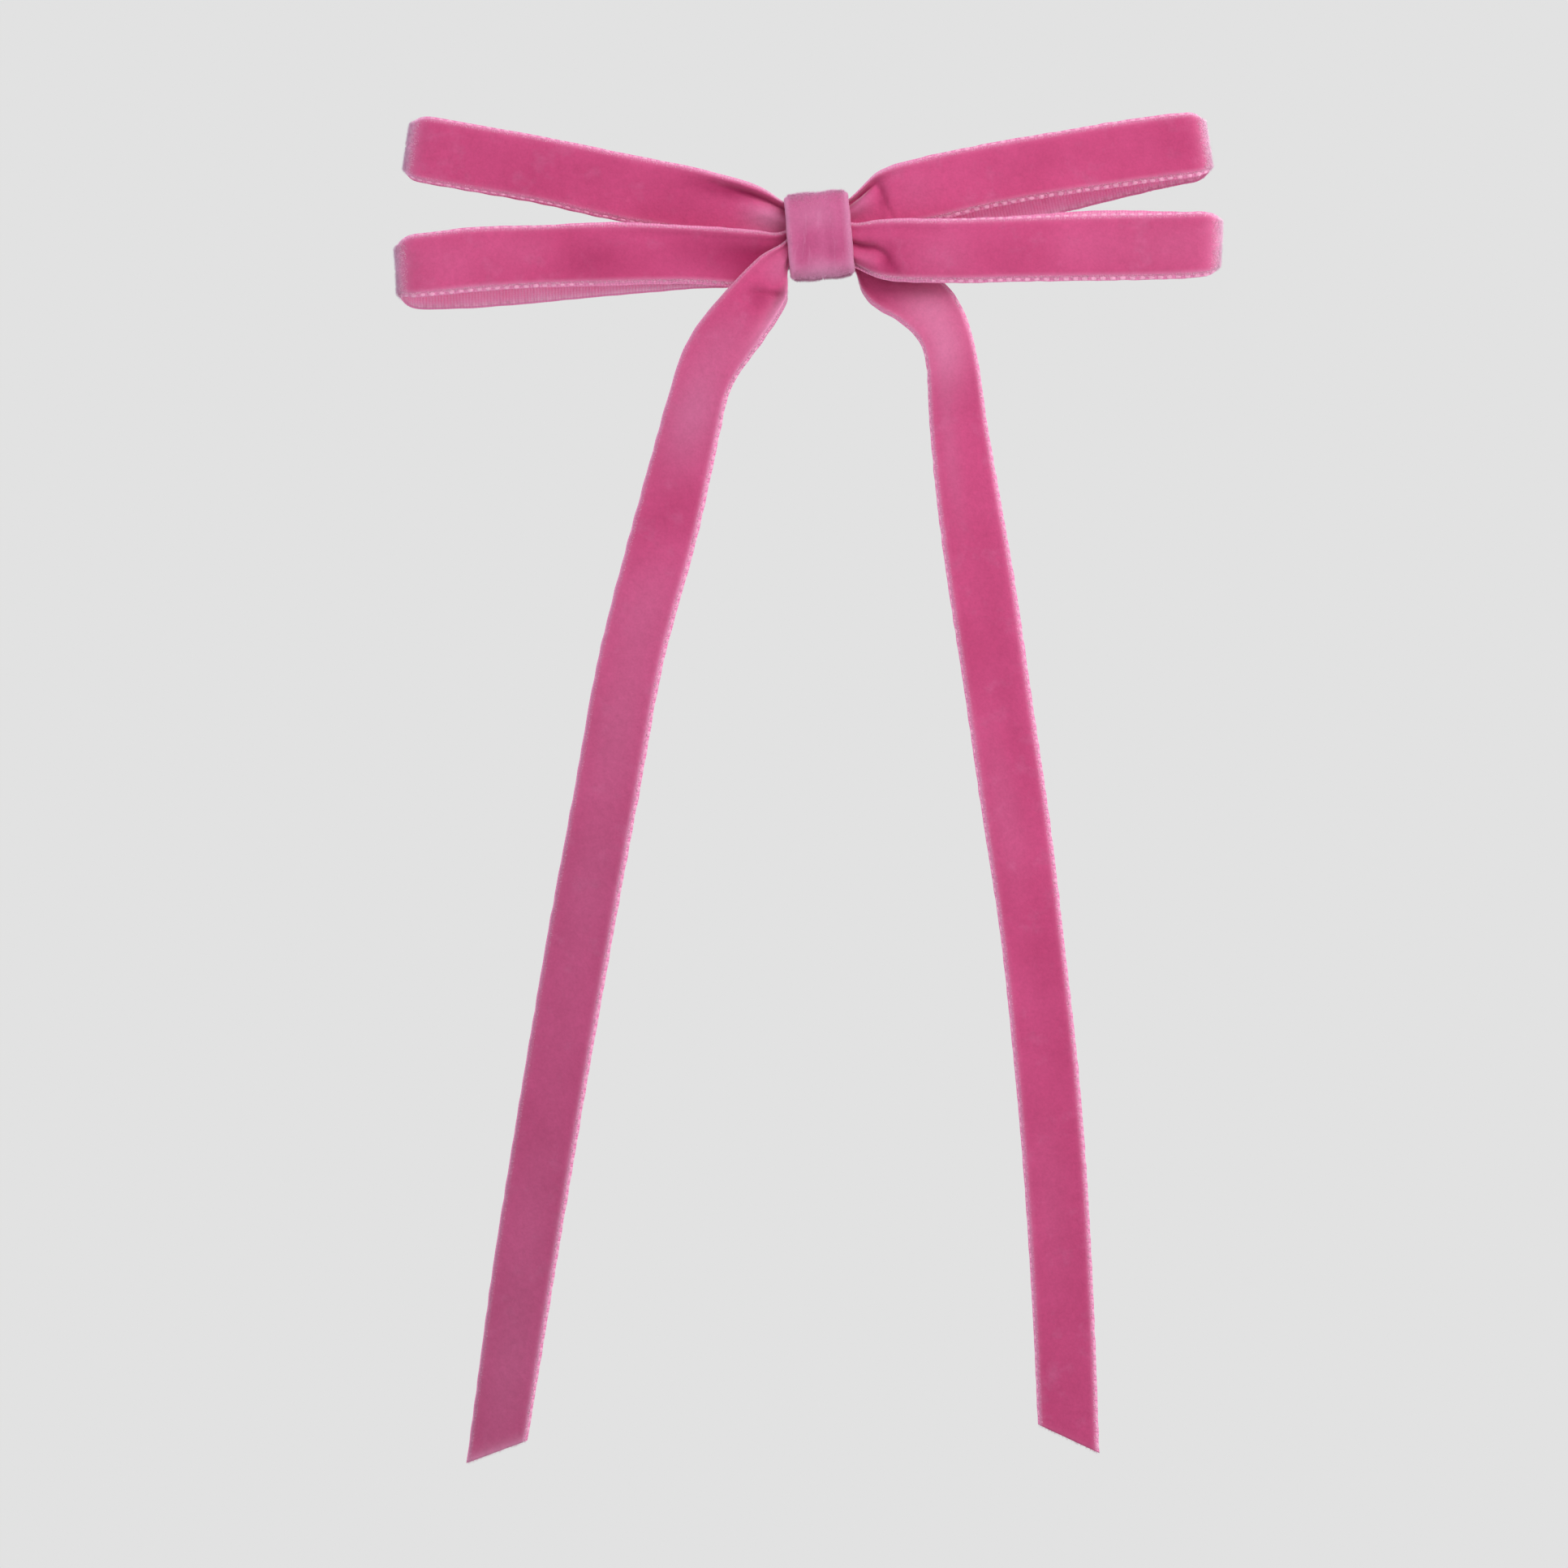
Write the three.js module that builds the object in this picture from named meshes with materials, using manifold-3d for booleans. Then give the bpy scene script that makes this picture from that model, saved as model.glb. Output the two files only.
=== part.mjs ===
// Velvet bow barrette: a narrow velvet ribbon tied in a four-loop bow with two long tails,
// held by a wrapped velvet band on an arched metal hair clip with a snap clasp.
//
// Millimetres. +Z is up, +X is the viewer's right, and the bow faces -Y.
// The head is on the +Y side. The origin is the middle of the gap that holds the hair.

import * as THREE from 'three';
import { mergeVertices } from 'three/addons/utils/BufferGeometryUtils.js';
import Module from 'manifold-3d';

const wasm = await Module();
wasm.setup();

// ---- Driving dimensions ---------------------------------------------------------------

const CLEARANCE = 0.3;            // gap kept between pieces that touch

const RIBBON_THICKNESS = 0.8;     // velvet with its pile pressed flat
const TAIL_HINGE_Z = -28;         // the tails swing from this height

const BASE_WIDTH = 7.2;           // clip bar that carries the bow
const BASE_THICKNESS = 0.8;
const BASE_HALF_LENGTH = 28.2;
const BASE_MID_Y = -6.3;          // centre plane of the bar at the top of its arch
const BASE_ARCH_RADIUS = 47.65;
const BASE_ARCH_HALF = 20;        // the arch ends here and eases into a flat foot
const BASE_FOOT_EASE = 2;
const BASE_END_RADIUS = 2;
const SEWING_HOLE = { x: 18.5, radius: 0.75 };

const FELT = { halfLength: 12, width: 6.4, thickness: 0.6 };

const ARM_WIDTH = 6.4;            // closing arm, on the head side
const ARM_THICKNESS = 0.8;
const ARM_MID_Y = 2.9;            // centre plane of its flat middle
const ARM_END_Y = 2.1;            // and of its two lowered ends
const ARM_TIP_X = 30;
const ARM_NECK_WIDTH = 5.2;       // between the hinge ears
const ARM_WINDOW = { x0: 25.0, x1: 28.6, halfZ: 2.0 };

const HINGE = { x: -26.5, y: 1.3, pin: 0.45, head: 0.9, eye: 1.2, ear: 1.4, earInnerZ: 3.0 };

const LEAF_WIDTH = 4.8;           // tension leaf between bar and arm
const LEAF_THICKNESS = 0.4;
const LEAF_MID_Y = -2.7;
const LEAF_HOOK_X = -23.4;
const LEAF_TIP_X = 17.5;

const CLASP = { x0: 25.6, x1: 28.0, plateX0: 21.9, plateX1: 28.4, plateY0: -0.74, plateY1: -0.24 };
const RIVET = { x: 23.7, shank: 0.7, head: 1.3, innerHead: 1.2 };
const JAW = { postZ: 1.1, wall: 0.5, lipZ: 2.45, lipY: 2.8, topY: 3.25, wingZ: 4.2, webY: 0.06 };

const KNOT = { x: 0.35, z: 0.05, width: 10, halfFront: 6.8, halfBack: 5.6, tilt: -0.085 };
const KNOT_FRONT_Y = -16;
const KNOT_BACK_Y = -4.4;
const PLY_HALF_WIDTH = 3.8;       // the gathered ribbon inside the knot
const FIRST_PLY_Y = -9.1;         // five plies lie on one another there
const STITCH = { radius: 0.15, length: 1.8, xs: [-2.2, 0, 2.2] };

// ---- Colours and finishes -----------------------------------------------------------------

const velvet = () => new THREE.MeshStandardMaterial({ color: 0xc4487c, roughness: 0.95 });
const bandVelvet = () => new THREE.MeshStandardMaterial({ color: 0xbb6590, roughness: 0.95 });
const steel = () => new THREE.MeshStandardMaterial({ color: 0xb9bbc0, roughness: 0.3, metalness: 1 });
const thread = () => new THREE.MeshStandardMaterial({ color: 0xb4507f, roughness: 0.8 });
const felt = () => new THREE.MeshStandardMaterial({ color: 0xb65f86, roughness: 1 });

// ---- Helpers --------------------------------------------------------------------------------

function toSolid(geometry) {
  const bare = geometry.index ? geometry.toNonIndexed() : geometry.clone();
  bare.deleteAttribute('normal');
  bare.deleteAttribute('uv');
  const welded = mergeVertices(bare, 1e-5);
  return new wasm.Manifold(new wasm.Mesh({
    numProp: 3,
    vertProperties: new Float32Array(welded.attributes.position.array),
    triVerts: new Uint32Array(welded.index.array),
  }));
}

function toGeometry(solid) {
  const mesh = solid.getMesh();
  const geometry = new THREE.BufferGeometry();
  geometry.setAttribute('position', new THREE.BufferAttribute(mesh.vertProperties, 3));
  geometry.setIndex(new THREE.BufferAttribute(mesh.triVerts, 1));
  geometry.computeVertexNormals();
  return geometry;
}

function union(first, ...others) {
  return toGeometry(others.reduce((sum, next) => sum.add(toSolid(next)), toSolid(first)));
}

function subtract(first, ...cutters) {
  return toGeometry(cutters.reduce((rest, next) => rest.subtract(toSolid(next)), toSolid(first)));
}

function intersect(first, second) {
  return toGeometry(toSolid(first).intersect(toSolid(second)));
}

function piece(name, geometry, material) {
  const mesh = new THREE.Mesh(geometry, material);
  mesh.name = name;
  return mesh;
}

// Evenly spaced values that visit each stop, with the given number of steps between stops.
function spread(stops, steps) {
  const values = [stops[0]];
  steps.forEach((count, span) => {
    for (let i = 1; i <= count; i += 1) {
      values.push(THREE.MathUtils.lerp(stops[span], stops[span + 1], i / count));
    }
  });
  return values;
}

// Outline in the XY plane of a strip bent along y = centre(x).
function bentOutline(centre, xs, thickness) {
  const below = [];
  const above = [];
  const h = 0.01;
  for (const x of xs) {
    const slope = (centre(x + h) - centre(x - h)) / (2 * h);
    const normal = new THREE.Vector2(-slope, 1).setLength(thickness / 2);
    below.push(new THREE.Vector2(x, centre(x)).sub(normal));
    above.push(new THREE.Vector2(x, centre(x)).add(normal));
  }
  return new THREE.Shape([...below, ...above.reverse()]);
}

// An XY outline given a width along Z, centred on z = 0 unless zMin is stated.
function acrossZ(shape, width, zMin = -width / 2) {
  const geometry = new THREE.ExtrudeGeometry(shape, { depth: width, bevelEnabled: false, curveSegments: 8 });
  return geometry.translate(0, 0, zMin);
}

// An outline drawn as (z, y) and given a length along X, from xMin to xMax.
function alongX(shape, xMin, xMax) {
  const depth = xMax - xMin;
  const geometry = new THREE.ExtrudeGeometry(shape, { depth, bevelEnabled: false, curveSegments: 5 });
  return geometry.rotateY(-Math.PI / 2).translate(xMax, 0, 0);
}

// An outline drawn as (x, z), symmetric about z = 0, given a height along Y.
function alongY(shape, yMin, yMax) {
  const depth = yMax - yMin;
  const geometry = new THREE.ExtrudeGeometry(shape, { depth, bevelEnabled: false, curveSegments: 8 });
  return geometry.rotateX(-Math.PI / 2).translate(0, yMin, 0);
}

function block(xMin, xMax, yMin, yMax, zMin, zMax) {
  const geometry = new THREE.BoxGeometry(xMax - xMin, yMax - yMin, zMax - zMin);
  return geometry.translate((xMin + xMax) / 2, (yMin + yMax) / 2, (zMin + zMax) / 2);
}

function roundPeg(radius, yMin, yMax, x, z) {
  const geometry = new THREE.CylinderGeometry(radius, radius, yMax - yMin, 20);
  return geometry.translate(x, (yMin + yMax) / 2, z);
}

// A convex outline with rounded corners, from its corner points in counterclockwise order.
function roundedOutline(corners, radius) {
  const shape = new THREE.Shape();
  const count = corners.length;
  corners.forEach((corner, i) => {
    const before = corners[(i + count - 1) % count];
    const after = corners[(i + 1) % count];
    const start = before.clone().sub(corner).setLength(radius).add(corner);
    const end = after.clone().sub(corner).setLength(radius).add(corner);
    if (i === 0) shape.moveTo(start.x, start.y);
    else shape.lineTo(start.x, start.y);
    shape.quadraticCurveTo(corner.x, corner.y, end.x, end.y);
  });
  shape.closePath();
  return shape;
}

function corners(...pairs) {
  return pairs.map(([u, v]) => new THREE.Vector2(u, v));
}

function rectangle(uMin, uMax, vMin, vMax) {
  return corners([uMin, vMin], [uMax, vMin], [uMax, vMax], [uMin, vMax]);
}

// ---- Ribbon -----------------------------------------------------------------------------------

// A station is [xTop, zTop, xBottom, zBottom, y]: the two edges of the ribbon at one place.
function ribbonGeometry(stations, stepsPerSpan = 3) {
  const top = new THREE.CatmullRomCurve3(stations.map(([x, z, , , y]) => new THREE.Vector3(x, y, z)));
  const low = new THREE.CatmullRomCurve3(stations.map(([, , x, z, y]) => new THREE.Vector3(x, y, z)));
  const count = (stations.length - 1) * stepsPerSpan;
  const tops = top.getPoints(count);
  const lows = low.getPoints(count);
  const positions = [];
  for (let i = 0; i <= count; i += 1) {
    const before = Math.max(i - 1, 0);
    const after = Math.min(i + 1, count);
    const travel = tops[after].clone().sub(tops[before]).add(lows[after]).sub(lows[before]);
    const across = tops[i].clone().sub(lows[i]);
    const normal = across.cross(travel).setLength(RIBBON_THICKNESS / 2);
    for (const [edge, side] of [[tops, 1], [tops, -1], [lows, -1], [lows, 1]]) {
      positions.push(...edge[i].clone().addScaledVector(normal, side).toArray());
    }
  }
  const index = [];
  const quad = (a, b, c, d) => index.push(a, b, c, a, c, d);
  quad(0, 3, 2, 1);
  for (let i = 0; i < count; i += 1) {
    for (let k = 0; k < 4; k += 1) {
      const next = (k + 1) % 4;
      quad(4 * i + k, 4 * i + next, 4 * i + 4 + next, 4 * i + 4 + k);
    }
  }
  const end = 4 * count;
  quad(end, end + 1, end + 2, end + 3);
  const geometry = new THREE.BufferGeometry();
  geometry.setAttribute('position', new THREE.Float32BufferAttribute(positions, 3));
  geometry.setIndex(index);
  geometry.computeVertexNormals();
  return geometry;
}

function plyY(number) {
  return FIRST_PLY_Y - (number - 1) * (RIBBON_THICKNESS + CLEARANCE);
}

// The stretch of ribbon that lies gathered inside the knot, on the side given by the sign.
function gathered(side, number) {
  const y = plyY(number);
  return [0.2, 1.6].map((x) => [side * x, PLY_HALF_WIDTH, side * x, -PLY_HALF_WIDTH, y]);
}

// A loop leaves the knot as its front layer, turns round at its outer end and comes back behind.
function loopGeometry({ side, frontPly, backPly, front, back, reach }) {
  const turn = [];
  const last = front[front.length - 1];
  const first = back[0];
  const steps = 5;
  for (let i = 1; i < steps; i += 1) {
    const angle = (Math.PI * i) / steps;
    const blend = (1 - Math.cos(angle)) / 2;
    const out = Math.sin(angle);
    const station = last.map((value, k) => THREE.MathUtils.lerp(value, first[k], blend));
    station[0] += reach[0] * out;
    station[1] += reach[1] * out;
    station[2] += reach[0] * out;
    station[3] += reach[1] * out;
    turn.push(station);
  }
  return ribbonGeometry([
    ...gathered(side, frontPly),
    ...front,
    ...turn,
    ...back,
    ...gathered(side, backPly).reverse(),
  ]);
}

const UPPER_LEFT = {
  side: -1,
  frontPly: 2,
  backPly: 1,
  reach: [-3.2, 0.6],
  front: [
    [-5.2, 4.6, -5.2, -0.8, plyY(2)],
    [-8.6, 7.7, -10.4, -0.6, -10.9],
    [-18.9, 10.7, -20.8, 0.9, -11.9],
    [-30.0, 12.9, -31.9, 2.8, -12.4],
    [-41.5, 15.3, -43.4, 5.4, -12.6],
    [-52.0, 17.2, -53.9, 7.2, -12.5],
    [-58.8, 18.4, -60.6, 8.4, -12.2],
  ],
  back: [
    [-58.8, 18.3, -60.6, 8.5, -5.8],
    [-41.5, 15.2, -43.4, 5.5, -5.4],
    [-30.0, 12.8, -31.9, 2.9, -6.0],
    [-18.9, 10.6, -20.8, 1.0, -7.2],
    [-8.6, 7.5, -10.4, -0.5, -8.6],
    [-5.2, 4.4, -5.2, -0.8, plyY(1)],
  ],
};

const UPPER_RIGHT = {
  side: 1,
  frontPly: 3,
  backPly: 2,
  reach: [3.2, 0.5],
  front: [
    [5.4, 5.4, 5.4, 0.3, plyY(3)],
    [9.6, 10.2, 10.6, 0.9, -12.0],
    [16.0, 12.2, 17.5, 2.2, -12.5],
    [25.0, 14.1, 26.7, 4.4, -13.0],
    [36.5, 16.1, 38.2, 6.4, -13.3],
    [48.5, 18.1, 50.2, 8.1, -13.3],
    [56.2, 19.1, 57.6, 9.1, -13.0],
  ],
  back: [
    [56.0, 18.3, 57.4, 8.5, -6.6],
    [48.5, 16.8, 50.4, 7.0, -6.4],
    [36.5, 14.0, 38.6, 4.1, -6.5],
    [25.0, 10.9, 27.1, 1.1, -7.4],
    [16.0, 8.9, 17.8, -0.4, -8.7],
    [9.8, 7.6, 10.6, -0.6, -9.7],
    [5.4, 5.0, 5.4, -0.6, plyY(2)],
  ],
};

const LOWER_LEFT = {
  side: -1,
  frontPly: 4,
  backPly: 3,
  reach: [-3.9, -0.1],
  front: [
    [-5.2, 0.7, -5.2, -5.5, plyY(4)],
    [-10.0, 1.0, -10.0, -7.6, -13.8],
    [-20.0, 1.6, -20.0, -7.4, -15.8],
    [-31.0, 2.0, -31.0, -7.7, -17.4],
    [-43.4, 1.5, -43.2, -8.1, -18.4],
    [-53.0, 1.2, -52.6, -8.7, -18.6],
    [-60.9, 0.3, -60.4, -9.5, -18.3],
  ],
  back: [
    [-60.6, -1.2, -60.1, -11.2, -12.2],
    [-53.0, -1.0, -52.6, -11.0, -12.4],
    [-43.4, -0.5, -43.2, -10.2, -12.9],
    [-31.0, 0.8, -31.0, -9.1, -13.5],
    [-20.0, 1.2, -20.0, -8.1, -13.1],
    [-10.0, 0.9, -10.0, -7.4, -12.1],
    [-5.2, 0.5, -5.2, -5.4, plyY(3)],
  ],
};

const LOWER_RIGHT = {
  side: 1,
  frontPly: 5,
  backPly: 4,
  reach: [3.3, 0.1],
  front: [
    [5.4, 2.0, 5.4, -4.6, plyY(5)],
    [10.0, 2.6, 9.6, -6.6, -14.9],
    [20.0, 2.6, 19.6, -7.3, -16.7],
    [31.6, 2.9, 31.4, -7.1, -18.0],
    [44.0, 3.3, 44.0, -7.0, -18.8],
    [53.0, 3.4, 53.2, -6.8, -18.8],
    [59.0, 3.6, 59.3, -6.5, -18.5],
  ],
  back: [
    [59.0, 3.8, 59.3, -6.1, -12.5],
    [53.0, 3.9, 53.2, -6.1, -12.7],
    [44.0, 4.0, 44.0, -6.0, -13.1],
    [31.6, 3.2, 31.4, -6.5, -14.0],
    [20.0, 2.2, 19.6, -6.9, -14.2],
    [10.0, 2.2, 9.6, -6.2, -13.3],
    [5.4, 1.8, 5.4, -4.5, plyY(4)],
  ],
};

const LEFT_TAIL_ROOT = [
  [-4.8, -0.7, -4.8, -5.2, plyY(5)],
  [-8.5, -2.8, -4.9, -9.0, -14.7],
  [-12.0, -6.2, -5.6, -11.6, -15.5],
  [-15.5, -10.1, -7.2, -14.6, -15.8],
  [-18.6, -13.9, -9.6, -18.0, -15.6],
  [-20.9, -18.2, -12.0, -21.2, -15.2],
  [-22.5, -23.2, -13.7, -24.6, -14.8],
  [-23.9, TAIL_HINGE_Z, -14.5, TAIL_HINGE_Z, -14.6],
];

const LEFT_TAIL = [
  [-23.9, TAIL_HINGE_Z, -14.5, TAIL_HINGE_Z, -14.6],
  [-28.9, -46.1, -18.4, -46.1, -14.6],
  [-33.7, -64.9, -23.5, -64.9, -14.6],
  [-37.1, -83.6, -27.0, -83.6, -14.6],
  [-41.7, -108.6, -31.6, -108.6, -14.6],
  [-45.9, -133.6, -36.0, -133.6, -14.6],
  [-49.9, -158.6, -40.2, -158.6, -14.6],
  [-54.0, -189.0, -44.6, -185.5, -14.6],
];

const RIGHT_TAIL_ROOT = [
  [5.2, -1.2, 5.2, -4.4, plyY(1)],
  [7.2, -1.8, 6.8, -5.4, -9.1],
  [11.0, -2.8, 6.7, -8.1, -9.6],
  [15.2, -4.4, 8.5, -10.6, -10.8],
  [19.0, -6.5, 11.6, -12.4, -12.0],
  [21.4, -9.2, 14.4, -14.5, -13.0],
  [23.1, -12.6, 16.2, -17.0, -13.5],
  [24.3, -16.8, 16.9, -20.2, -13.4],
  [25.3, -22.2, 17.1, -23.8, -12.6],
  [26.1, TAIL_HINGE_Z, 17.3, TAIL_HINGE_Z, -11.5],
];

const RIGHT_TAIL = [
  [26.1, TAIL_HINGE_Z, 17.3, TAIL_HINGE_Z, -11.5],
  [28.2, -39.9, 18.4, -39.9, -11.5],
  [30.4, -52.4, 20.0, -52.4, -11.5],
  [33.1, -71.1, 22.9, -71.1, -11.5],
  [35.9, -89.9, 25.6, -89.9, -11.5],
  [38.1, -108.6, 28.4, -108.6, -11.5],
  [40.2, -127.4, 30.4, -127.4, -11.5],
  [41.7, -146.1, 32.0, -146.1, -11.5],
  [42.7, -164.9, 33.2, -164.9, -11.5],
  [43.5, -187.6, 34.1, -183.2, -11.5],
];

// The same stations with one of them moved up or down, which opens the gap at the hinge line.
function nudged(stations, at, dz) {
  return stations.map((station, i) => {
    if (i !== at) return station;
    return [station[0], station[1] + dz, station[2], station[3] + dz, station[4]];
  });
}

function tailPieces(name, side, ply, root, tail) {
  const rootStations = nudged(root, root.length - 1, CLEARANCE);
  const tailStations = nudged(tail, 0, -CLEARANCE);
  return [
    piece(`${name}_root`, ribbonGeometry([...gathered(side, ply), ...rootStations]), velvet()),
    piece(name, ribbonGeometry(tailStations), velvet()),
  ];
}

// ---- Knot ---------------------------------------------------------------------------------------

// The band is a closed sleeve round the gathered ribbon and the clip bar.
function knotBandGeometry() {
  const wall = 1;
  const { halfFront, halfBack, width } = KNOT;
  const outer = corners(
    [-halfFront, KNOT_FRONT_Y],
    [halfFront, KNOT_FRONT_Y],
    [halfBack, KNOT_BACK_Y],
    [-halfBack, KNOT_BACK_Y],
  );
  const inner = corners(
    [-halfFront + wall, KNOT_FRONT_Y + wall],
    [halfFront - wall, KNOT_FRONT_Y + wall],
    [halfBack - wall + 0.1, KNOT_BACK_Y - wall + 0.1],
    [-halfBack + wall - 0.1, KNOT_BACK_Y - wall + 0.1],
  );
  const outline = roundedOutline(outer, 1.6);
  outline.holes.push(roundedOutline(inner, 0.7));
  return alongX(outline, -width / 2, width / 2);
}

function threadTieGeometry() {
  const wall = 0.5;
  const half = PLY_HALF_WIDTH + CLEARANCE + wall;
  const frontY = plyY(5) - RIBBON_THICKNESS / 2 - CLEARANCE - wall;
  const backY = plyY(1) + RIBBON_THICKNESS / 2 + CLEARANCE + wall;
  const outline = roundedOutline(rectangle(-half, half, frontY, backY), 0.7);
  outline.holes.push(roundedOutline(
    rectangle(-half + wall, half - wall, frontY + wall, backY - wall),
    0.3,
  ));
  return alongX(outline, -1.2, 1.2);
}

function stitchGeometry() {
  return new THREE.CapsuleGeometry(STITCH.radius, STITCH.length, 3, 8).rotateX(Math.PI / 2);
}

// ---- Clip -----------------------------------------------------------------------------------------

function baseY(x) {
  const reach = Math.min(Math.abs(x), BASE_ARCH_HALF);
  const rise = BASE_ARCH_RADIUS - Math.sqrt(BASE_ARCH_RADIUS ** 2 - reach ** 2);
  const slope = BASE_ARCH_HALF / Math.sqrt(BASE_ARCH_RADIUS ** 2 - BASE_ARCH_HALF ** 2);
  const past = Math.min(Math.abs(x) - reach, BASE_FOOT_EASE);
  return BASE_MID_Y + rise + slope * (past - past ** 2 / (2 * BASE_FOOT_EASE));
}

function armY(x) {
  const rise = THREE.MathUtils.smoothstep(x, -23, -19) * (1 - THREE.MathUtils.smoothstep(x, 15, 19));
  return ARM_END_Y + (ARM_MID_Y - ARM_END_Y) * rise;
}

function leafY(x) {
  return LEAF_MID_Y + 0.00525 * x ** 2 + 0.0117 * x;
}

const FOOT_Y = baseY(BASE_HALF_LENGTH);

function baseBarGeometry() {
  const archEnd = BASE_ARCH_HALF + BASE_FOOT_EASE;
  const xs = spread(
    [-BASE_HALF_LENGTH, -archEnd, -BASE_ARCH_HALF, BASE_ARCH_HALF, archEnd, BASE_HALF_LENGTH],
    [1, 3, 20, 3, 1],
  );
  const strip = acrossZ(bentOutline(baseY, xs, BASE_THICKNESS), BASE_WIDTH);
  const half = BASE_WIDTH / 2;
  const cornerX = BASE_HALF_LENGTH - BASE_END_RADIUS;
  const cornerZ = half - BASE_END_RADIUS;
  const plan = new THREE.Shape()
    .moveTo(-BASE_HALF_LENGTH, -half)
    .lineTo(cornerX, -half)
    .absarc(cornerX, -cornerZ, BASE_END_RADIUS, -Math.PI / 2, 0)
    .lineTo(BASE_HALF_LENGTH, cornerZ)
    .absarc(cornerX, cornerZ, BASE_END_RADIUS, 0, Math.PI / 2)
    .lineTo(-BASE_HALF_LENGTH, half);
  const trimmed = intersect(strip, alongY(plan, -9, 1));
  const ear = new THREE.Shape()
    .moveTo(HINGE.x - 1.7, FOOT_Y - 0.3)
    .lineTo(HINGE.x + 1.9, FOOT_Y - 0.3)
    .lineTo(HINGE.x + HINGE.ear, HINGE.y)
    .absarc(HINGE.x, HINGE.y, HINGE.ear, 0, Math.PI)
    .lineTo(HINGE.x - 1.7, FOOT_Y - 0.3);
  const earWidth = half - HINGE.earInnerZ;
  const withEars = union(
    trimmed,
    acrossZ(ear, earWidth, HINGE.earInnerZ),
    acrossZ(ear, earWidth, -half),
  );
  const pinHole = new THREE.CylinderGeometry(HINGE.pin + CLEARANCE, HINGE.pin + CLEARANCE, 12, 20)
    .rotateX(Math.PI / 2)
    .translate(HINGE.x, HINGE.y, 0);
  return subtract(
    withEars,
    pinHole,
    block(LEAF_HOOK_X - 0.6, LEAF_HOOK_X + 0.6, -4, 1, -1.9, 1.9),
    roundPeg(SEWING_HOLE.radius, -6, 2, -SEWING_HOLE.x, 0),
    roundPeg(SEWING_HOLE.radius, -6, 2, SEWING_HOLE.x, 0),
    roundPeg(RIVET.shank + CLEARANCE, -6, 2, RIVET.x, 0),
  );
}

function hingePinGeometry() {
  const { pin, head } = HINGE;
  const face = BASE_WIDTH / 2 + CLEARANCE;
  const profile = corners(
    [0, -face - 0.45],
    [0.6, -face - 0.4],
    [head, -face - 0.2],
    [head, -face],
    [pin, -face],
    [pin, face],
    [head, face],
    [head, face + 0.2],
    [0.6, face + 0.4],
    [0, face + 0.45],
  );
  return new THREE.LatheGeometry(profile, 20).rotateX(Math.PI / 2).translate(HINGE.x, HINGE.y, 0);
}

function closingArmGeometry() {
  const xs = spread([HINGE.x, -23, -19, 15, 19, ARM_TIP_X], [1, 5, 1, 5, 1]);
  const plate = acrossZ(bentOutline(armY, xs, ARM_THICKNESS), ARM_WIDTH);
  const neck = ARM_NECK_WIDTH / 2;
  const half = ARM_WIDTH / 2;
  const plan = new THREE.Shape()
    .moveTo(HINGE.x - 1, -neck)
    .lineTo(-22, -neck)
    .quadraticCurveTo(-20.5, -neck, -19.5, -half + 0.2)
    .lineTo(-17, -half)
    .lineTo(ARM_TIP_X - 2.4, -half)
    .quadraticCurveTo(ARM_TIP_X, -half, ARM_TIP_X, 0)
    .quadraticCurveTo(ARM_TIP_X, half, ARM_TIP_X - 2.4, half)
    .lineTo(-17, half)
    .lineTo(-19.5, half - 0.2)
    .quadraticCurveTo(-20.5, neck, -22, neck)
    .lineTo(HINGE.x - 1, neck);
  const eyeOutline = new THREE.Shape().absarc(HINGE.x, HINGE.y, HINGE.eye, 0, 2 * Math.PI);
  const bore = new THREE.CylinderGeometry(HINGE.pin + CLEARANCE, HINGE.pin + CLEARANCE, 12, 20)
    .rotateX(Math.PI / 2)
    .translate(HINGE.x, HINGE.y, 0);
  const shaped = intersect(plate, alongY(plan, 0, 5));
  return subtract(
    union(shaped, acrossZ(eyeOutline, ARM_NECK_WIDTH)),
    bore,
    block(ARM_WINDOW.x0, ARM_WINDOW.x1, 0, 5, -ARM_WINDOW.halfZ, ARM_WINDOW.halfZ),
  );
}

// A thin bowed leaf. At one end it is hooked down through a slot in the bar.
function tensionBarGeometry() {
  const xs = spread([LEAF_HOOK_X - LEAF_THICKNESS / 2, LEAF_TIP_X], [16]);
  const leaf = acrossZ(bentOutline(leafY, xs, LEAF_THICKNESS), LEAF_WIDTH);
  const half = LEAF_WIDTH / 2;
  const plan = new THREE.Shape()
    .moveTo(LEAF_HOOK_X - 1, -1.5)
    .lineTo(LEAF_HOOK_X + 1, -1.5)
    .quadraticCurveTo(LEAF_HOOK_X + 2, -half, LEAF_HOOK_X + 4, -half)
    .lineTo(LEAF_TIP_X - 2.4, -half)
    .absarc(LEAF_TIP_X - 2.4, 0, half, -Math.PI / 2, Math.PI / 2)
    .lineTo(LEAF_HOOK_X + 4, half)
    .quadraticCurveTo(LEAF_HOOK_X + 2, half, LEAF_HOOK_X + 1, 1.5)
    .lineTo(LEAF_HOOK_X - 1, 1.5);
  const shaped = intersect(leaf, alongY(plan, -5, 2));
  const under = FOOT_Y - BASE_THICKNESS / 2 - CLEARANCE;
  const hookTop = leafY(LEAF_HOOK_X);
  return union(
    shaped,
    block(LEAF_HOOK_X - 0.2, LEAF_HOOK_X + 0.2, under - 0.4, hookTop, -1.5, 1.5),
    block(LEAF_HOOK_X - 1.3, LEAF_HOOK_X + 0.2, under - 0.4, under, -1.5, 1.5),
  );
}

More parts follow.
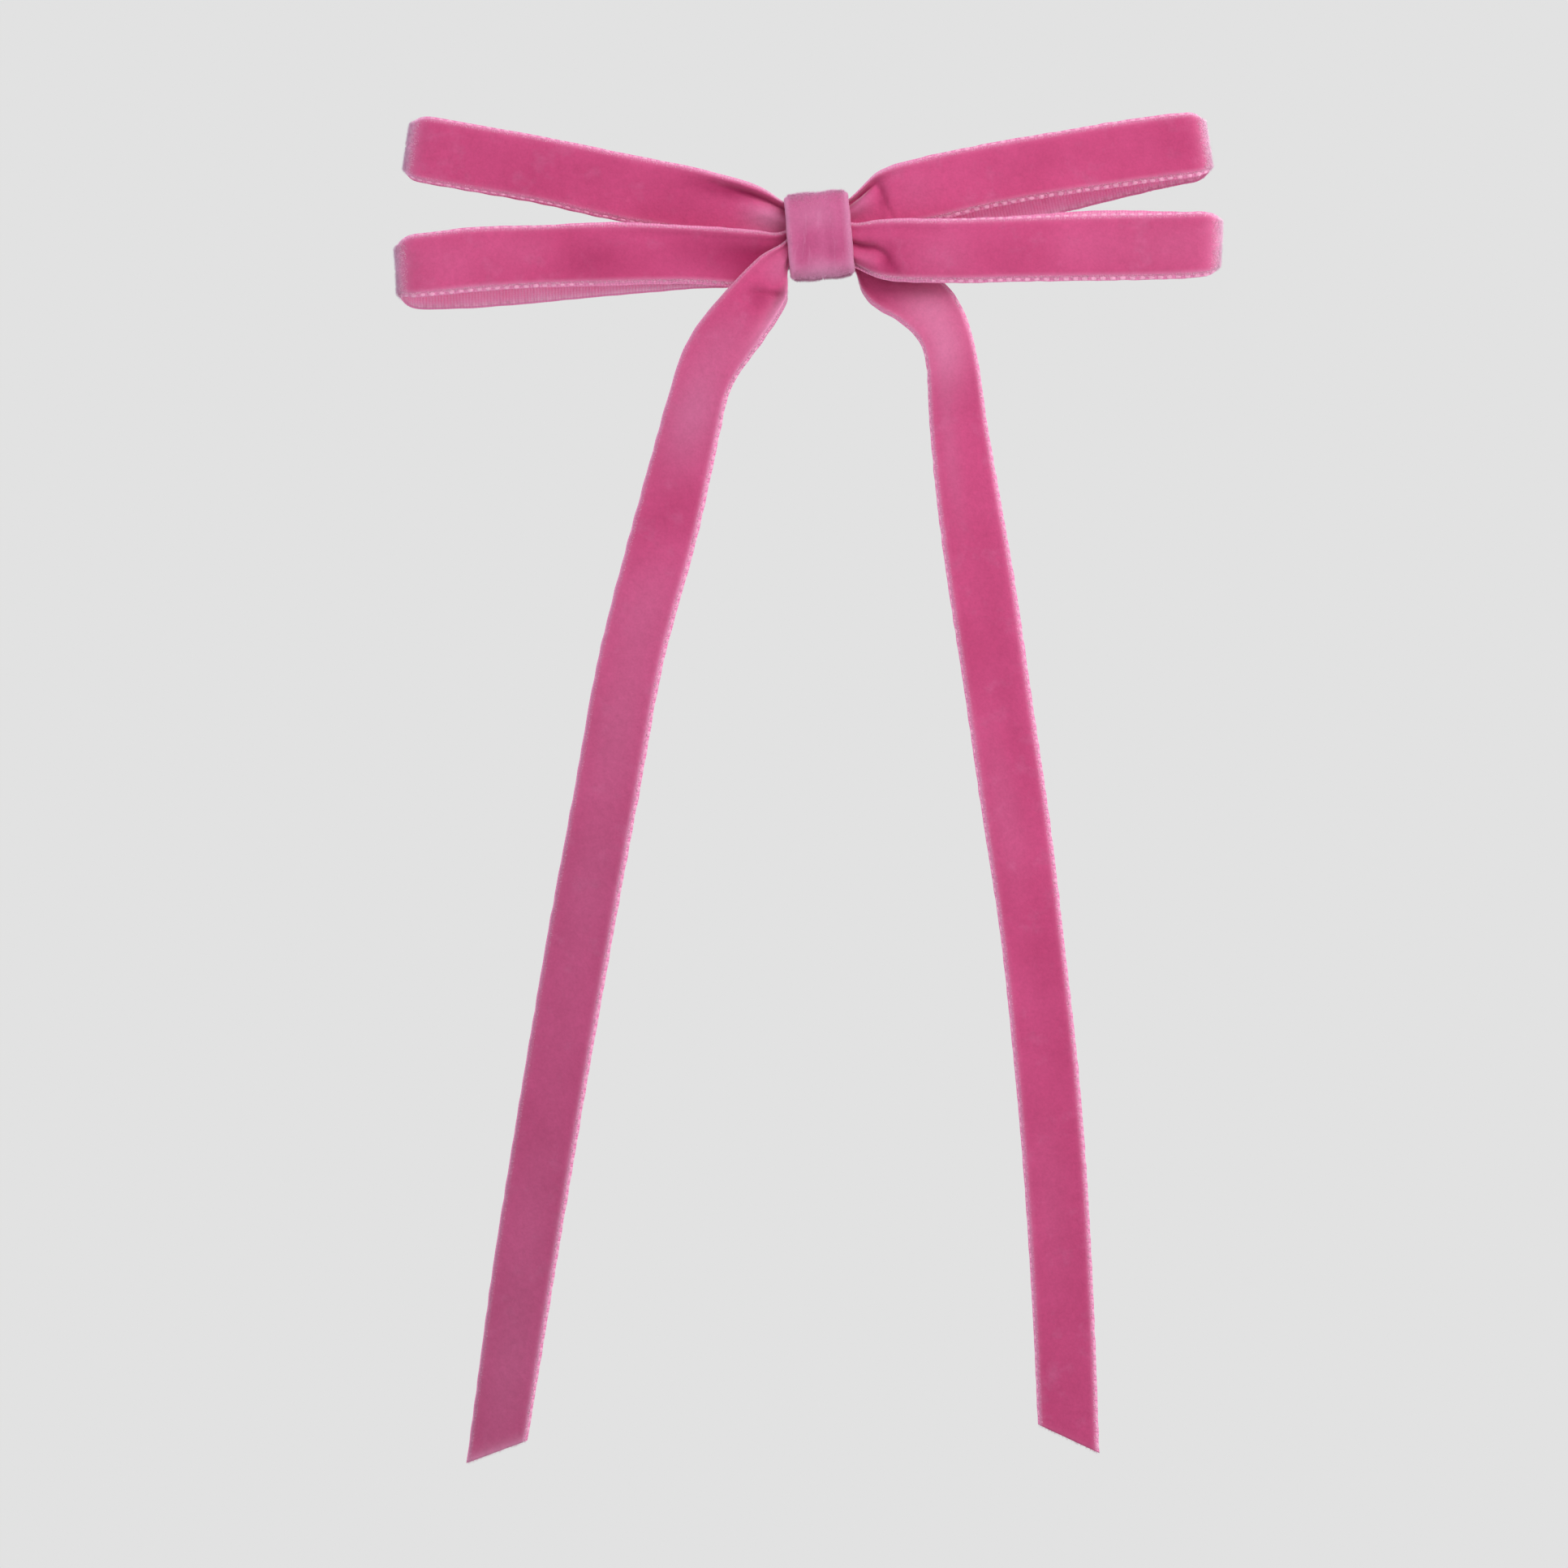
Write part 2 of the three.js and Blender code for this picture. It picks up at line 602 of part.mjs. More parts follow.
function claspBridgeGeometry() {
  const plan = roundedOutline(rectangle(CLASP.plateX0, CLASP.plateX1, -3.2, 3.2), 1);
  const plate = alongY(plan, CLASP.plateY0, CLASP.plateY1);
  return subtract(plate, roundPeg(RIVET.shank + CLEARANCE, -2, 1, RIVET.x, 0));
}

function claspRivetGeometry() {
  const innerFace = CLASP.plateY1 + CLEARANCE;
  const outerFace = FOOT_Y - BASE_THICKNESS / 2 - CLEARANCE;
  const { shank, head, innerHead } = RIVET;
  const profile = corners(
    [0, outerFace - 0.5],
    [0.8, outerFace - 0.42],
    [head, outerFace - 0.15],
    [head, outerFace],
    [shank, outerFace],
    [shank, innerFace],
    [innerHead, innerFace],
    [innerHead, innerFace + 0.15],
    [0.8, innerFace + 0.38],
    [0, innerFace + 0.45],
  );
  return new THREE.LatheGeometry(profile, 20).translate(RIVET.x, 0, 0);
}

// A jaw is a post with an outward lip, a web and a finger wing with three grip ridges.
function claspJawGeometry() {
  const { postZ, wall, lipZ, lipY, topY, wingZ, webY } = JAW;
  const section = new THREE.Shape(corners(
    [postZ, webY],
    [wingZ + wall, webY],
    [wingZ + wall, webY + 1],
    [wingZ, webY + 1],
    [wingZ, webY + wall],
    [postZ + wall, webY + wall],
    [postZ + wall, lipY],
    [lipZ, lipY],
    [postZ + wall, topY],
    [postZ, topY],
  ));
  const wing = acrossZ(
    roundedOutline(rectangle(CLASP.x0 - 1.6, CLASP.x1 + 1.8, webY - 0.4, 2.9), 1),
    wall,
    wingZ,
  );
  const ridges = [-1.4, 0, 1.4].map((offset) => {
    const middle = (CLASP.x0 + CLASP.x1) / 2 + offset;
    return block(middle - 0.2, middle + 0.2, 0.5, 2.4, wingZ + wall - 0.1, wingZ + wall + 0.2);
  });
  return union(alongX(section, CLASP.x0, CLASP.x1), wing, ...ridges);
}

// ---- Assembly ---------------------------------------------------------------------------------

function makeBow() {
  const bow = new THREE.Group();
  bow.add(
    piece('upper_left_loop', loopGeometry(UPPER_LEFT), velvet()),
    piece('upper_right_loop', loopGeometry(UPPER_RIGHT), velvet()),
    piece('lower_left_loop', loopGeometry(LOWER_LEFT), velvet()),
    piece('lower_right_loop', loopGeometry(LOWER_RIGHT), velvet()),
    ...tailPieces('left_tail', -1, 5, LEFT_TAIL_ROOT, LEFT_TAIL),
    ...tailPieces('right_tail', 1, 1, RIGHT_TAIL_ROOT, RIGHT_TAIL),
    piece('thread_tie', threadTieGeometry(), thread()),
  );
  return bow;
}

function makeKnot() {
  const knot = new THREE.Group();
  knot.position.set(KNOT.x, 0, KNOT.z);
  knot.rotation.y = KNOT.tilt;
  knot.add(piece('knot_band', knotBandGeometry(), bandVelvet()));
  STITCH.xs.forEach((x, i) => {
    const stitch = piece(`band_stitch_${i + 1}`, stitchGeometry(), thread());
    stitch.position.set(x, KNOT_BACK_Y + CLEARANCE + STITCH.radius, 0);
    knot.add(stitch);
  });
  return knot;
}

function makeClip() {
  const clip = new THREE.Group();
  const pad = acrossZ(
    bentOutline(
      (x) => baseY(x) - (BASE_THICKNESS + FELT.thickness) / 2 - CLEARANCE,
      spread([-FELT.halfLength, FELT.halfLength], [12]),
      FELT.thickness,
    ),
    FELT.width,
  );
  const lowerJaw = piece('clasp_jaw_lower', claspJawGeometry(), steel());
  lowerJaw.scale.z = -1;
  clip.add(
    piece('felt_pad', pad, felt()),
    piece('base_bar', baseBarGeometry(), steel()),
    piece('hinge_pin', hingePinGeometry(), steel()),
    piece('closing_arm', closingArmGeometry(), steel()),
    piece('tension_bar', tensionBarGeometry(), steel()),
    piece('clasp_bridge', claspBridgeGeometry(), steel()),
    piece('clasp_rivet', claspRivetGeometry(), steel()),
    piece('clasp_jaw_upper', claspJawGeometry(), steel()),
    lowerJaw,
  );
  return clip;
}

const barrette = new THREE.Group();
barrette.add(makeBow(), makeKnot(), makeClip());

export default barrette;
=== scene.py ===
# Velvet bow barrette: the looks of the bow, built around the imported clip.
# Metres, in the CAD frame: +Z is up, the bow faces -Y and the head is on the +Y side.

import math

import bpy
import numpy as np
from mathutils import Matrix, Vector


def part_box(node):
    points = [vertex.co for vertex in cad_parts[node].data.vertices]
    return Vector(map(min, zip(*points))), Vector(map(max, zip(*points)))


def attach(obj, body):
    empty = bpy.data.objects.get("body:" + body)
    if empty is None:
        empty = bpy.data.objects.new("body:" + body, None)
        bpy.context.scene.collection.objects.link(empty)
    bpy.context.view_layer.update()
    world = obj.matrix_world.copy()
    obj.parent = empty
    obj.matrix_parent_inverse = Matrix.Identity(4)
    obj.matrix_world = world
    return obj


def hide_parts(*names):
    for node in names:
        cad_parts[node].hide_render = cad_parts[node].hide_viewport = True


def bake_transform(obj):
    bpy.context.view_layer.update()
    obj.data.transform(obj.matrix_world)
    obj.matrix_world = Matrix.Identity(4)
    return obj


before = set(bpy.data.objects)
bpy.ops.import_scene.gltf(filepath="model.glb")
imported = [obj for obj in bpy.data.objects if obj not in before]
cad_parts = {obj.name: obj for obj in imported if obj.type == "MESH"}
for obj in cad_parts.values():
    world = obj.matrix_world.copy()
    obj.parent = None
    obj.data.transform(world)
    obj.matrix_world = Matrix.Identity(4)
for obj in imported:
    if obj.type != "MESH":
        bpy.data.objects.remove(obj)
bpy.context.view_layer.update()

MM = 0.001

# ---- Sizes, in millimetres ------------------------------------------------------------------

RIBBON_WIDTH = 10.0
PILE_HEIGHT = 0.50
CLOTH_BACK = -0.35            # the woven back, below the face of the cloth
EDGE = 5.02                   # from the middle of the ribbon to the outside of its selvedge
BARE = (0.40, 0.62)           # selvedge left uncovered by the pile at the top and the bottom edge
RIB_PITCH = 0.48
THREAD_PITCH = 0.36
ROW_STEP = 0.4                # spacing of the mesh rows along a ribbon
FINE_STEP = 0.25              # spacing while the edges are smoothed
SMOOTHED_OVER = 4.0

WAVE_HEIGHT = 0.10            # slow waves all over the cloth
WAVE_SIZE = (9.0, 6.0)        # along and across
TUFT_HEIGHT = 0.030
TUFT_SIZE = 0.5
TUFTED_TO = 4.6               # tufts roughen the pile as far out as this
FRAY = 0.05                   # how far the edges waver
FRAY_SIZE = 1.6
FRAYED_FROM = 4.3

EDGE_SHEEN_WIDTH = 0.9               # band beside the selvedge where sheen is painted onto the pile
EDGE_SHEEN = (0.38, 0.60)      # how much sheen is painted at the top and the bottom edge
FOLDED_EDGE_SHEEN = 0.40
TURN_AND_END_SHEEN = 0.85             # sheen painted onto the pile where the ribbon turns or ends
TURN_AND_END_SHEEN_REACH = 2.0
CORNER_TUCK = 0.85            # how far each corner is drawn in where a loop turns round
TUCK_REACH = 2.3

STITCH_PITCH = 1.45
STITCH_LENGTH = 0.95
STITCH_HALF_WIDTH = 0.36
STITCH_HALF_HEIGHT = 0.13
STITCH_LIFT = 0.04
STITCH_EDGE = 4.97            # the outer side of the row of stitches
STITCH_FADE = (12.0, 24.0)    # they come up out of the pile over this distance from the knot
FIRST_STITCH = 0.6
LEAST_STITCH = 0.2            # a stitch sunk below this share of its size is left out

EDGE_HAIRS = 34               # loose ends of pile to each millimetre of ribbon
EDGE_HAIR_BAND = (4.15, 4.55)
TURN_HAIRS = 5200             # over each tight turn
TURN_REACH = 2.9
CUT_END_HAIRS = 260
HAIR_LENGTH = (0.25, 0.65)
HAIR_SWAY = 0.35
HAIR_THICKNESS = 0.024

TAIL_HINGE_Z = -28.0

FIRST_PLY_Y = -9.1
PLY_PITCH = 1.1
PLY_HALF_WIDTH = 3.8

KNOT_X = 0.35
KNOT_Z = 0.05
KNOT_TILT = 0.085
KNOT_WIDTH = 10.0
KNOT_TURN_HAIRS = 3000

FELT_THICKNESS = 0.5
FELT_FUZZ = 0.03
FELT_ARCH = 47.65             # radius of the arch the felt lies along
FELT_CREST_Y = -7.3           # the middle of its thickness where the arch is highest
FELT_MARGIN = 0.1             # the felt ends this far inside its place
STEEL_BEVEL = 0.08

# ---- Studio sizes, in metres ----------------------------------------------------------------

VIEW_CENTRE = (-0.0051, -0.0844)
VIEW_WIDTH = 0.2415
VIEW_DISTANCE = 2.0
BOW_FRONT = 0.015         # the plane that VIEW_WIDTH is measured in, in front of the origin
FLOOR_RADIUS = 0.6
FLOOR_GLOW = 0.98         # of the background
SENSOR = 36               # millimetres
FLOOR_Z = -0.25
BACKGROUND = 0.7605       # linear grey of the studio sweep
AMBIENT = 0.40


# ---- Ribbon stations, on the CAD's path: [x top, z top, x bottom, z bottom, y] ---------------

def ply_y(number):
    return FIRST_PLY_Y - (number - 1) * PLY_PITCH


def gathered(side, number):
    y = ply_y(number)
    return [[side * x, PLY_HALF_WIDTH, side * x, -PLY_HALF_WIDTH, y] for x in (0.2, 1.6)]


def loop_stations(side, front_ply, back_ply, reach, front, back):
    """The front layer from the knot outwards, the turn at the outer end, and the back layer home."""
    turn = []
    steps = 6
    for i in range(1, steps):
        angle = math.pi * i / steps
        blend = (1 - math.cos(angle)) / 2
        station = [a + (b - a) * blend for a, b in zip(front[-1], back[0])]
        for k in range(4):
            station[k] += reach[k % 2] * math.sin(angle)
        turn.append(station)
    return [*gathered(side, front_ply), *front, *turn, *back, *reversed(gathered(side, back_ply))]


UPPER_LEFT = loop_stations(
    -1, 2, 1, (-3.2, 0.6),
    [
        [-5.2, 5.4, -5.2, -0.8, ply_y(2)],
        [-8.6, 7.7, -10.4, -0.6, -10.9],
        [-18.9, 10.7, -20.8, 0.9, -11.9],
        [-30.0, 12.9, -31.9, 2.8, -12.4],
        [-41.5, 15.3, -43.4, 5.4, -12.6],
        [-52.0, 17.2, -53.9, 7.2, -12.5],
        [-58.8, 18.4, -60.6, 8.4, -12.2],
    ],
    [
        [-58.8, 18.3, -60.6, 8.5, -5.8],
        [-41.5, 15.2, -43.4, 5.5, -5.4],
        [-30.0, 12.8, -31.9, 2.9, -6.0],
        [-18.9, 10.6, -20.8, 1.0, -7.2],
        [-8.6, 7.5, -10.4, -0.5, -8.6],
        [-5.2, 4.4, -5.2, -0.8, ply_y(1)],
    ],
)

UPPER_RIGHT = loop_stations(
    1, 3, 2, (3.2, 0.5),
    [
        [5.4, 6.2, 5.4, 0.3, ply_y(3)],
        [9.6, 10.2, 10.6, 0.9, -12.0],
        [16.0, 12.2, 17.5, 2.2, -12.5],
        [25.0, 14.1, 26.7, 4.4, -13.0],
        [36.5, 16.1, 38.2, 6.4, -13.3],
        [48.5, 18.1, 50.2, 8.1, -13.3],
        [56.2, 19.1, 57.6, 9.1, -13.0],
    ],
    [
        [56.0, 18.3, 57.4, 8.5, -6.6],
        [48.5, 16.8, 50.4, 7.0, -6.4],
        [36.5, 14.0, 38.6, 4.1, -6.5],
        [25.0, 10.9, 27.1, 1.1, -7.4],
        [16.0, 8.9, 17.8, -0.4, -8.7],
        [9.8, 7.6, 10.6, -0.6, -9.7],
        [5.4, 5.0, 5.4, -0.6, ply_y(2)],
    ],
)

LOWER_LEFT = loop_stations(
    -1, 4, 3, (-3.9, -0.1),
    [
        [-5.2, 0.7, -5.2, -5.5, ply_y(4)],
        [-10.0, 1.0, -10.0, -7.6, -13.8],
        [-20.0, 1.6, -20.0, -7.4, -15.8],
        [-31.0, 2.0, -31.0, -7.7, -17.4],
        [-43.4, 1.5, -43.2, -8.1, -18.4],
        [-53.0, 1.2, -52.6, -8.7, -18.6],
        [-60.9, 0.3, -60.4, -9.5, -18.3],
    ],
    [
        [-60.6, -1.2, -60.1, -11.2, -12.2],
        [-53.0, -1.0, -52.6, -11.0, -12.4],
        [-43.4, -0.5, -43.2, -10.2, -12.9],
        [-31.0, 0.8, -31.0, -9.1, -13.5],
        [-20.0, 1.2, -20.0, -8.1, -13.1],
        [-10.0, 0.9, -10.0, -7.4, -12.1],
        [-5.2, 0.5, -5.2, -5.4, ply_y(3)],
    ],
)

LOWER_RIGHT = loop_stations(
    1, 5, 4, (2.9, 0.1),
    [
        [5.4, 2.0, 5.4, -4.6, ply_y(5)],
        [10.0, 2.6, 9.6, -6.6, -14.9],
        [20.0, 2.6, 19.6, -7.3, -16.7],
        [31.6, 2.9, 31.4, -7.1, -18.0],
        [44.0, 3.3, 44.0, -7.0, -18.8],
        [53.0, 3.4, 53.2, -6.8, -18.8],
        [59.0, 3.6, 58.7, -6.5, -18.5],
    ],
    [
        [59.0, 3.8, 58.7, -6.1, -12.5],
        [53.0, 3.9, 53.2, -6.1, -12.7],
        [44.0, 4.0, 44.0, -6.0, -13.1],
        [31.6, 3.2, 31.4, -6.5, -14.0],
        [20.0, 2.2, 19.6, -6.9, -14.2],
        [10.0, 2.2, 9.6, -6.2, -13.3],
        [5.4, 1.8, 5.4, -4.5, ply_y(4)],
    ],
)

LEFT_TAIL = [
    *gathered(-1, 5),
    [-4.8, -0.7, -4.8, -5.2, ply_y(5)],
    [-8.5, -2.8, -4.3, -9.0, -14.7],
    [-12.0, -6.2, -5.3, -11.6, -15.5],
    [-15.5, -10.1, -7.2, -14.6, -15.8],
    [-18.6, -13.9, -9.6, -18.0, -15.6],
    [-20.9, -18.2, -12.0, -21.2, -15.2],
    [-22.5, -23.2, -13.7, -24.6, -14.8],
    [-23.9, TAIL_HINGE_Z, -14.5, TAIL_HINGE_Z, -14.6],
    [-28.9, -46.1, -18.4, -46.1, -14.6],
    [-33.7, -64.9, -23.5, -64.9, -14.6],
    [-37.1, -83.6, -27.0, -83.6, -14.6],
    [-41.7, -108.6, -31.6, -108.6, -14.6],
    [-45.9, -133.6, -36.0, -133.6, -14.6],
    [-49.9, -158.6, -40.2, -158.6, -14.6],
    [-54.0, -189.0, -44.6, -185.5, -14.6],
]

RIGHT_TAIL = [
    *gathered(1, 1),
    [5.2, -1.2, 5.2, -4.4, ply_y(1)],
    [7.2, -1.8, 6.2, -5.6, -9.1],
    [11.0, -2.8, 6.7, -8.1, -9.6],
    [15.2, -4.4, 8.5, -10.6, -10.8],
    [19.0, -6.5, 11.6, -12.4, -12.0],
    [21.4, -9.2, 14.4, -14.5, -13.0],
    [23.1, -12.6, 16.2, -17.0, -13.5],
    [24.3, -16.8, 16.9, -20.2, -13.4],
    [25.3, -22.2, 17.1, -23.8, -12.6],
    [26.1, TAIL_HINGE_Z, 17.3, TAIL_HINGE_Z, -11.5],
    [28.2, -39.9, 18.4, -39.9, -11.5],
    [30.4, -52.4, 20.0, -52.4, -11.5],
    [33.1, -71.1, 22.9, -71.1, -11.5],
    [35.9, -89.9, 25.6, -89.9, -11.5],
    [38.1, -108.6, 28.4, -108.6, -11.5],
    [40.2, -127.4, 30.4, -127.4, -11.5],
    [41.7, -146.1, 32.0, -146.1, -11.5],
    [42.7, -164.9, 33.2, -164.9, -11.5],
    [43.5, -187.6, 34.1, -183.2, -11.5],
]


# ---- Curves and noise -------------------------------------------------------------------------

def catmull(points, per_span=24):
    """Points on a smooth curve through the given points, with the same count in every span."""
    p = np.asarray(points, float)
    p = np.vstack([2 * p[0] - p[1], p, 2 * p[-1] - p[-2]])
    out = []
    for i in range(1, len(p) - 2):
        p0, p1, p2, p3 = p[i - 1:i + 3]
        d1 = max(np.linalg.norm(p1 - p0), 1e-9) ** 0.5
        d2 = max(np.linalg.norm(p2 - p1), 1e-9) ** 0.5
        d3 = max(np.linalg.norm(p3 - p2), 1e-9) ** 0.5
        m1 = d2 * ((p1 - p0) / d1 - (p2 - p0) / (d1 + d2) + (p2 - p1) / d2)
        m2 = d2 * ((p2 - p1) / d2 - (p3 - p1) / (d2 + d3) + (p3 - p2) / d3)
        t = np.linspace(0, 1, per_span, endpoint=False)[:, None]
        out.append(
            (2 * t**3 - 3 * t**2 + 1) * p1
            + (t**3 - 2 * t**2 + t) * m1
            + (-2 * t**3 + 3 * t**2) * p2
            + (t**3 - t**2) * m2
        )
    out.append(p[-2][None])
    return np.vstack(out)


def smoothed(values, sigma):
    """A Gaussian blur down the rows, which keeps both ends where they are."""
    reach = int(3 * sigma) + 1
    kernel = np.exp(-0.5 * (np.arange(-reach, reach + 1) / sigma) ** 2)
    kernel /= kernel.sum()
    head = 2 * values[0] - values[reach:0:-1]
    tail = 2 * values[-1] - values[-2:-reach - 2:-1]
    padded = np.vstack([head, values, tail])
    return np.stack([np.convolve(padded[:, k], kernel, "valid") for k in range(values.shape[1])], 1)


def evenly(values, step):
    """The rows again, evenly spaced along the line midway between the two edges in them."""
    middle = (values[:, :3] + values[:, 3:6]) / 2
    along = np.concatenate([[0], np.cumsum(np.linalg.norm(np.diff(middle, axis=0), axis=1))])
    at = np.linspace(0, along[-1], max(2, round(along[-1] / step)) + 1)
    return np.stack([np.interp(at, along, values[:, k]) for k in range(6)], 1), at


def ripple(a, b, seed):
    """Smooth repeatable noise of two coordinates, about -1 to 1, with features about one unit wide."""
    rng = np.random.default_rng(seed)
    total = np.zeros(np.broadcast(a, b).shape)
    for _ in range(9):
        angle = rng.uniform(0, 2 * math.pi)
        rate = rng.uniform(1.6, 4.2)
        total += np.sin(rate * (a * math.cos(angle) + b * math.sin(angle)) + rng.uniform(0, 6.3))
    return total / 4


def waves(along, across, seed):
    """Height of the slow waves in the cloth."""
    return WAVE_HEIGHT * ripple(along / WAVE_SIZE[0], across / WAVE_SIZE[1], seed)


# ---- Mesh helpers -----------------------------------------------------------------------------

def new_object(name, vertices, faces, materials, zones=None):
    """A smooth-shaded mesh object. Zones gives each face the number of its material."""
    mesh = bpy.data.meshes.new(name)
    mesh.from_pydata([tuple(v) for v in np.asarray(vertices) * MM], [], faces)
    for material in materials:
        mesh.materials.append(material)
    if zones is not None:
        mesh.polygons.foreach_set("material_index", zones)
    mesh.polygons.foreach_set("use_smooth", [True] * len(mesh.polygons))
    mesh.update()
    obj = bpy.data.objects.new(name, mesh)
    bpy.context.scene.collection.objects.link(obj)
    return obj


def point_value(obj, name, values):
    attribute = obj.data.attributes.new(name, "FLOAT", "POINT")
    attribute.data.foreach_set("value", np.asarray(values, np.float32).ravel())


def tube_faces(rows, ring):
    """Quads of a tube of rows, each a closed ring of points, and a cap at both ends."""
    faces = []
    for i in range(rows - 1):
        here, there = i * ring, (i + 1) * ring
        for k in range(ring):
            n = (k + 1) % ring
            faces.append((here + k, there + k, there + n, here + n))
    faces.append(tuple(range(ring)))
    faces.append(tuple(range(rows * ring - 1, (rows - 1) * ring - 1, -1)))
    return faces


def tube(path, radius, sides):
    """Vertices and faces of a round tube down a path, in millimetres."""
    path = np.asarray(path, float)
    rows = len(path)
    ahead = np.roll(path, -1, 0) - np.roll(path, 1, 0)
    ahead[0], ahead[-1] = path[1] - path[0], path[-1] - path[-2]
    ahead /= np.linalg.norm(ahead, axis=1)[:, None]
    normal = np.cross(ahead[0], [0.3, 0.5, 0.8])
    rings = []
    for i in range(rows):
        normal = normal - ahead[i] * normal.dot(ahead[i])
        normal /= np.linalg.norm(normal)
        side = np.cross(ahead[i], normal)
        for k in range(sides):
            angle = -2 * math.pi * k / sides
            rings.append(path[i] + radius * (math.cos(angle) * normal + math.sin(angle) * side))
    return np.array(rings), tube_faces(rows, sides)


def merged(parts):
    """One list of vertices and faces out of several."""
    vertices, faces, offset = [], [], 0
    for points, quads in parts:
        vertices.append(points)
        faces += [tuple(i + offset for i in quad) for quad in quads]
        offset += len(points)
    return np.vstack(vertices), faces


# ---- Material helpers -------------------------------------------------------------------------

def srgb(r, g, b):
    """The linear colour of an 8-bit screen colour."""
    def linear(c):
        c /= 255
        return c / 12.92 if c <= 0.04045 else ((c + 0.055) / 1.055) ** 2.4
    return (linear(r), linear(g), linear(b), 1.0)


class Nodes:
    """A material being built: each call adds a node and returns an output of it."""

    def __init__(self, name):
        self.material = bpy.data.materials.new(name)
        self.material.use_nodes = True
        self.tree = self.material.node_tree
        self.shader = self.tree.nodes["Principled BSDF"]

    def add(self, kind, output=0, inputs=None, **settings):
        node = self.tree.nodes.new(kind)
        for key, value in settings.items():
            setattr(node, key, value)
        for key, value in (inputs or {}).items():
            self.put(node.inputs[key], value)
        return node.outputs[output]

    def put(self, socket, value):
        if isinstance(value, bpy.types.NodeSocket):
            self.tree.links.new(value, socket)
        else:
            socket.default_value = value

    def set(self, **values):
        for key, value in values.items():
            self.put(self.shader.inputs[key.replace("_", " ")], value)

    def position(self):
        return self.add("ShaderNodeTexCoord", "Object")

    def attribute(self, name):
        return self.add("ShaderNodeAttribute", "Fac", attribute_name=name)

    def math(self, operation, a, b=0.0, c=0.0):
        return self.add("ShaderNodeMath", 0, {0: a, 1: b, 2: c}, operation=operation)

    def stretched(self, vector, scale):
        return self.add("ShaderNodeMapping", 0, {"Vector": vector, "Scale": scale})

    def noise(self, vector, scale, detail=2.0, roughness=0.5):
        inputs = {"Vector": vector, "Scale": scale, "Detail": detail, "Roughness": roughness}
        return self.add("ShaderNodeTexNoise", "Fac", inputs)

    def remap(self, value, low, high, to_low=0.0, to_high=1.0):
        inputs = {"Value": value, "From Min": low, "From Max": high, "To Min": to_low, "To Max": to_high}
        return self.add("ShaderNodeMapRange", 0, inputs)

    def mix(self, factor, a, b, blend="MIX"):
        node = self.tree.nodes.new("ShaderNodeMix")
        node.data_type = "RGBA"
        node.blend_type = blend
        self.put(node.inputs[0], factor)
        self.put(node.inputs[6], a)
        self.put(node.inputs[7], b)
        return node.outputs[2]

    def bump(self, height, strength, distance, normal=None):
        inputs = {"Height": height, "Strength": strength, "Distance": distance}
        if normal is not None:
            inputs["Normal"] = normal
        return self.add("ShaderNodeBump", 0, inputs)


# ---- Materials --------------------------------------------------------------------------------

FALLOFF_SHADE = (0.78, 0.90, 0.85, 1.0)      # painted shade: the pile further down the tails is darkened


def velvet_pile(
    name, colour, dark, painted_shade_colour, dusty_and_painted_light, painted_light_colour, rubs=(1.0, 1.0, 1.0), streaks=(1.5, 1.0, 1.5),
):
    """Short cut pile: brushed patches, fine tufts, dusty where crushed, with painted light and shade in
    patches, painted sheen on edges and turns, and painted shade down the tails.
    """
    n = Nodes(name)
    where = n.position()
    brushed = n.noise(n.stretched(where, rubs), 62.0, 3.0, 0.55)
    rubbed = n.noise(n.stretched(where, streaks), 190.0, 3.0, 0.6)
    tufts = n.noise(where, 2600.0, 2.0, 0.6)
    flecks = n.noise(where, 900.0, 2.0, 0.55)
    tone = n.attribute("tone")
    body = n.mix(n.remap(brushed, 0.36, 0.66), dark, colour)
    body = n.mix(n.remap(rubbed, 0.56, 0.76, 0.0, 0.4), body, dusty_and_painted_light)
    # Tone: lighter towards the dusty colour for crushed pile and painted light, darker towards the colour
    # of painted shade.
    body = n.mix(n.remap(tone, 0.0, 1.0), body, dusty_and_painted_light)
    body = n.mix(n.remap(tone, 0.0, -1.0), body, painted_shade_colour)
    # Painted sheen and light: lighter pile along the edges, over turns and cut ends, and in patches.
    body = n.mix(n.attribute("painted_light"), body, painted_light_colour)
    # Painted shade: darker further down the tails.
    body = n.mix(n.attribute("painted_falloff"), body, FALLOFF_SHADE, "MULTIPLY")
    grain = n.math("MULTIPLY_ADD", tufts, 0.22, n.math("MULTIPLY_ADD", flecks, 0.16, 0.81))
    body = n.mix(1.0, body, grain, "MULTIPLY")
    n.set(Base_Color=body, Roughness=0.92)
    n.shader.inputs["Specular IOR Level"].default_value = 0.10
    n.shader.inputs["Sheen Weight"].default_value = 0.9
    n.shader.inputs["Sheen Roughness"].default_value = 0.38
    n.shader.inputs["Sheen Tint"].default_value = (0.94, 0.72, 0.88, 1.0)
    n.set(Normal=n.bump(tufts, 0.25, 0.0002, n.bump(flecks, 0.2, 0.0003)))
    return n.material


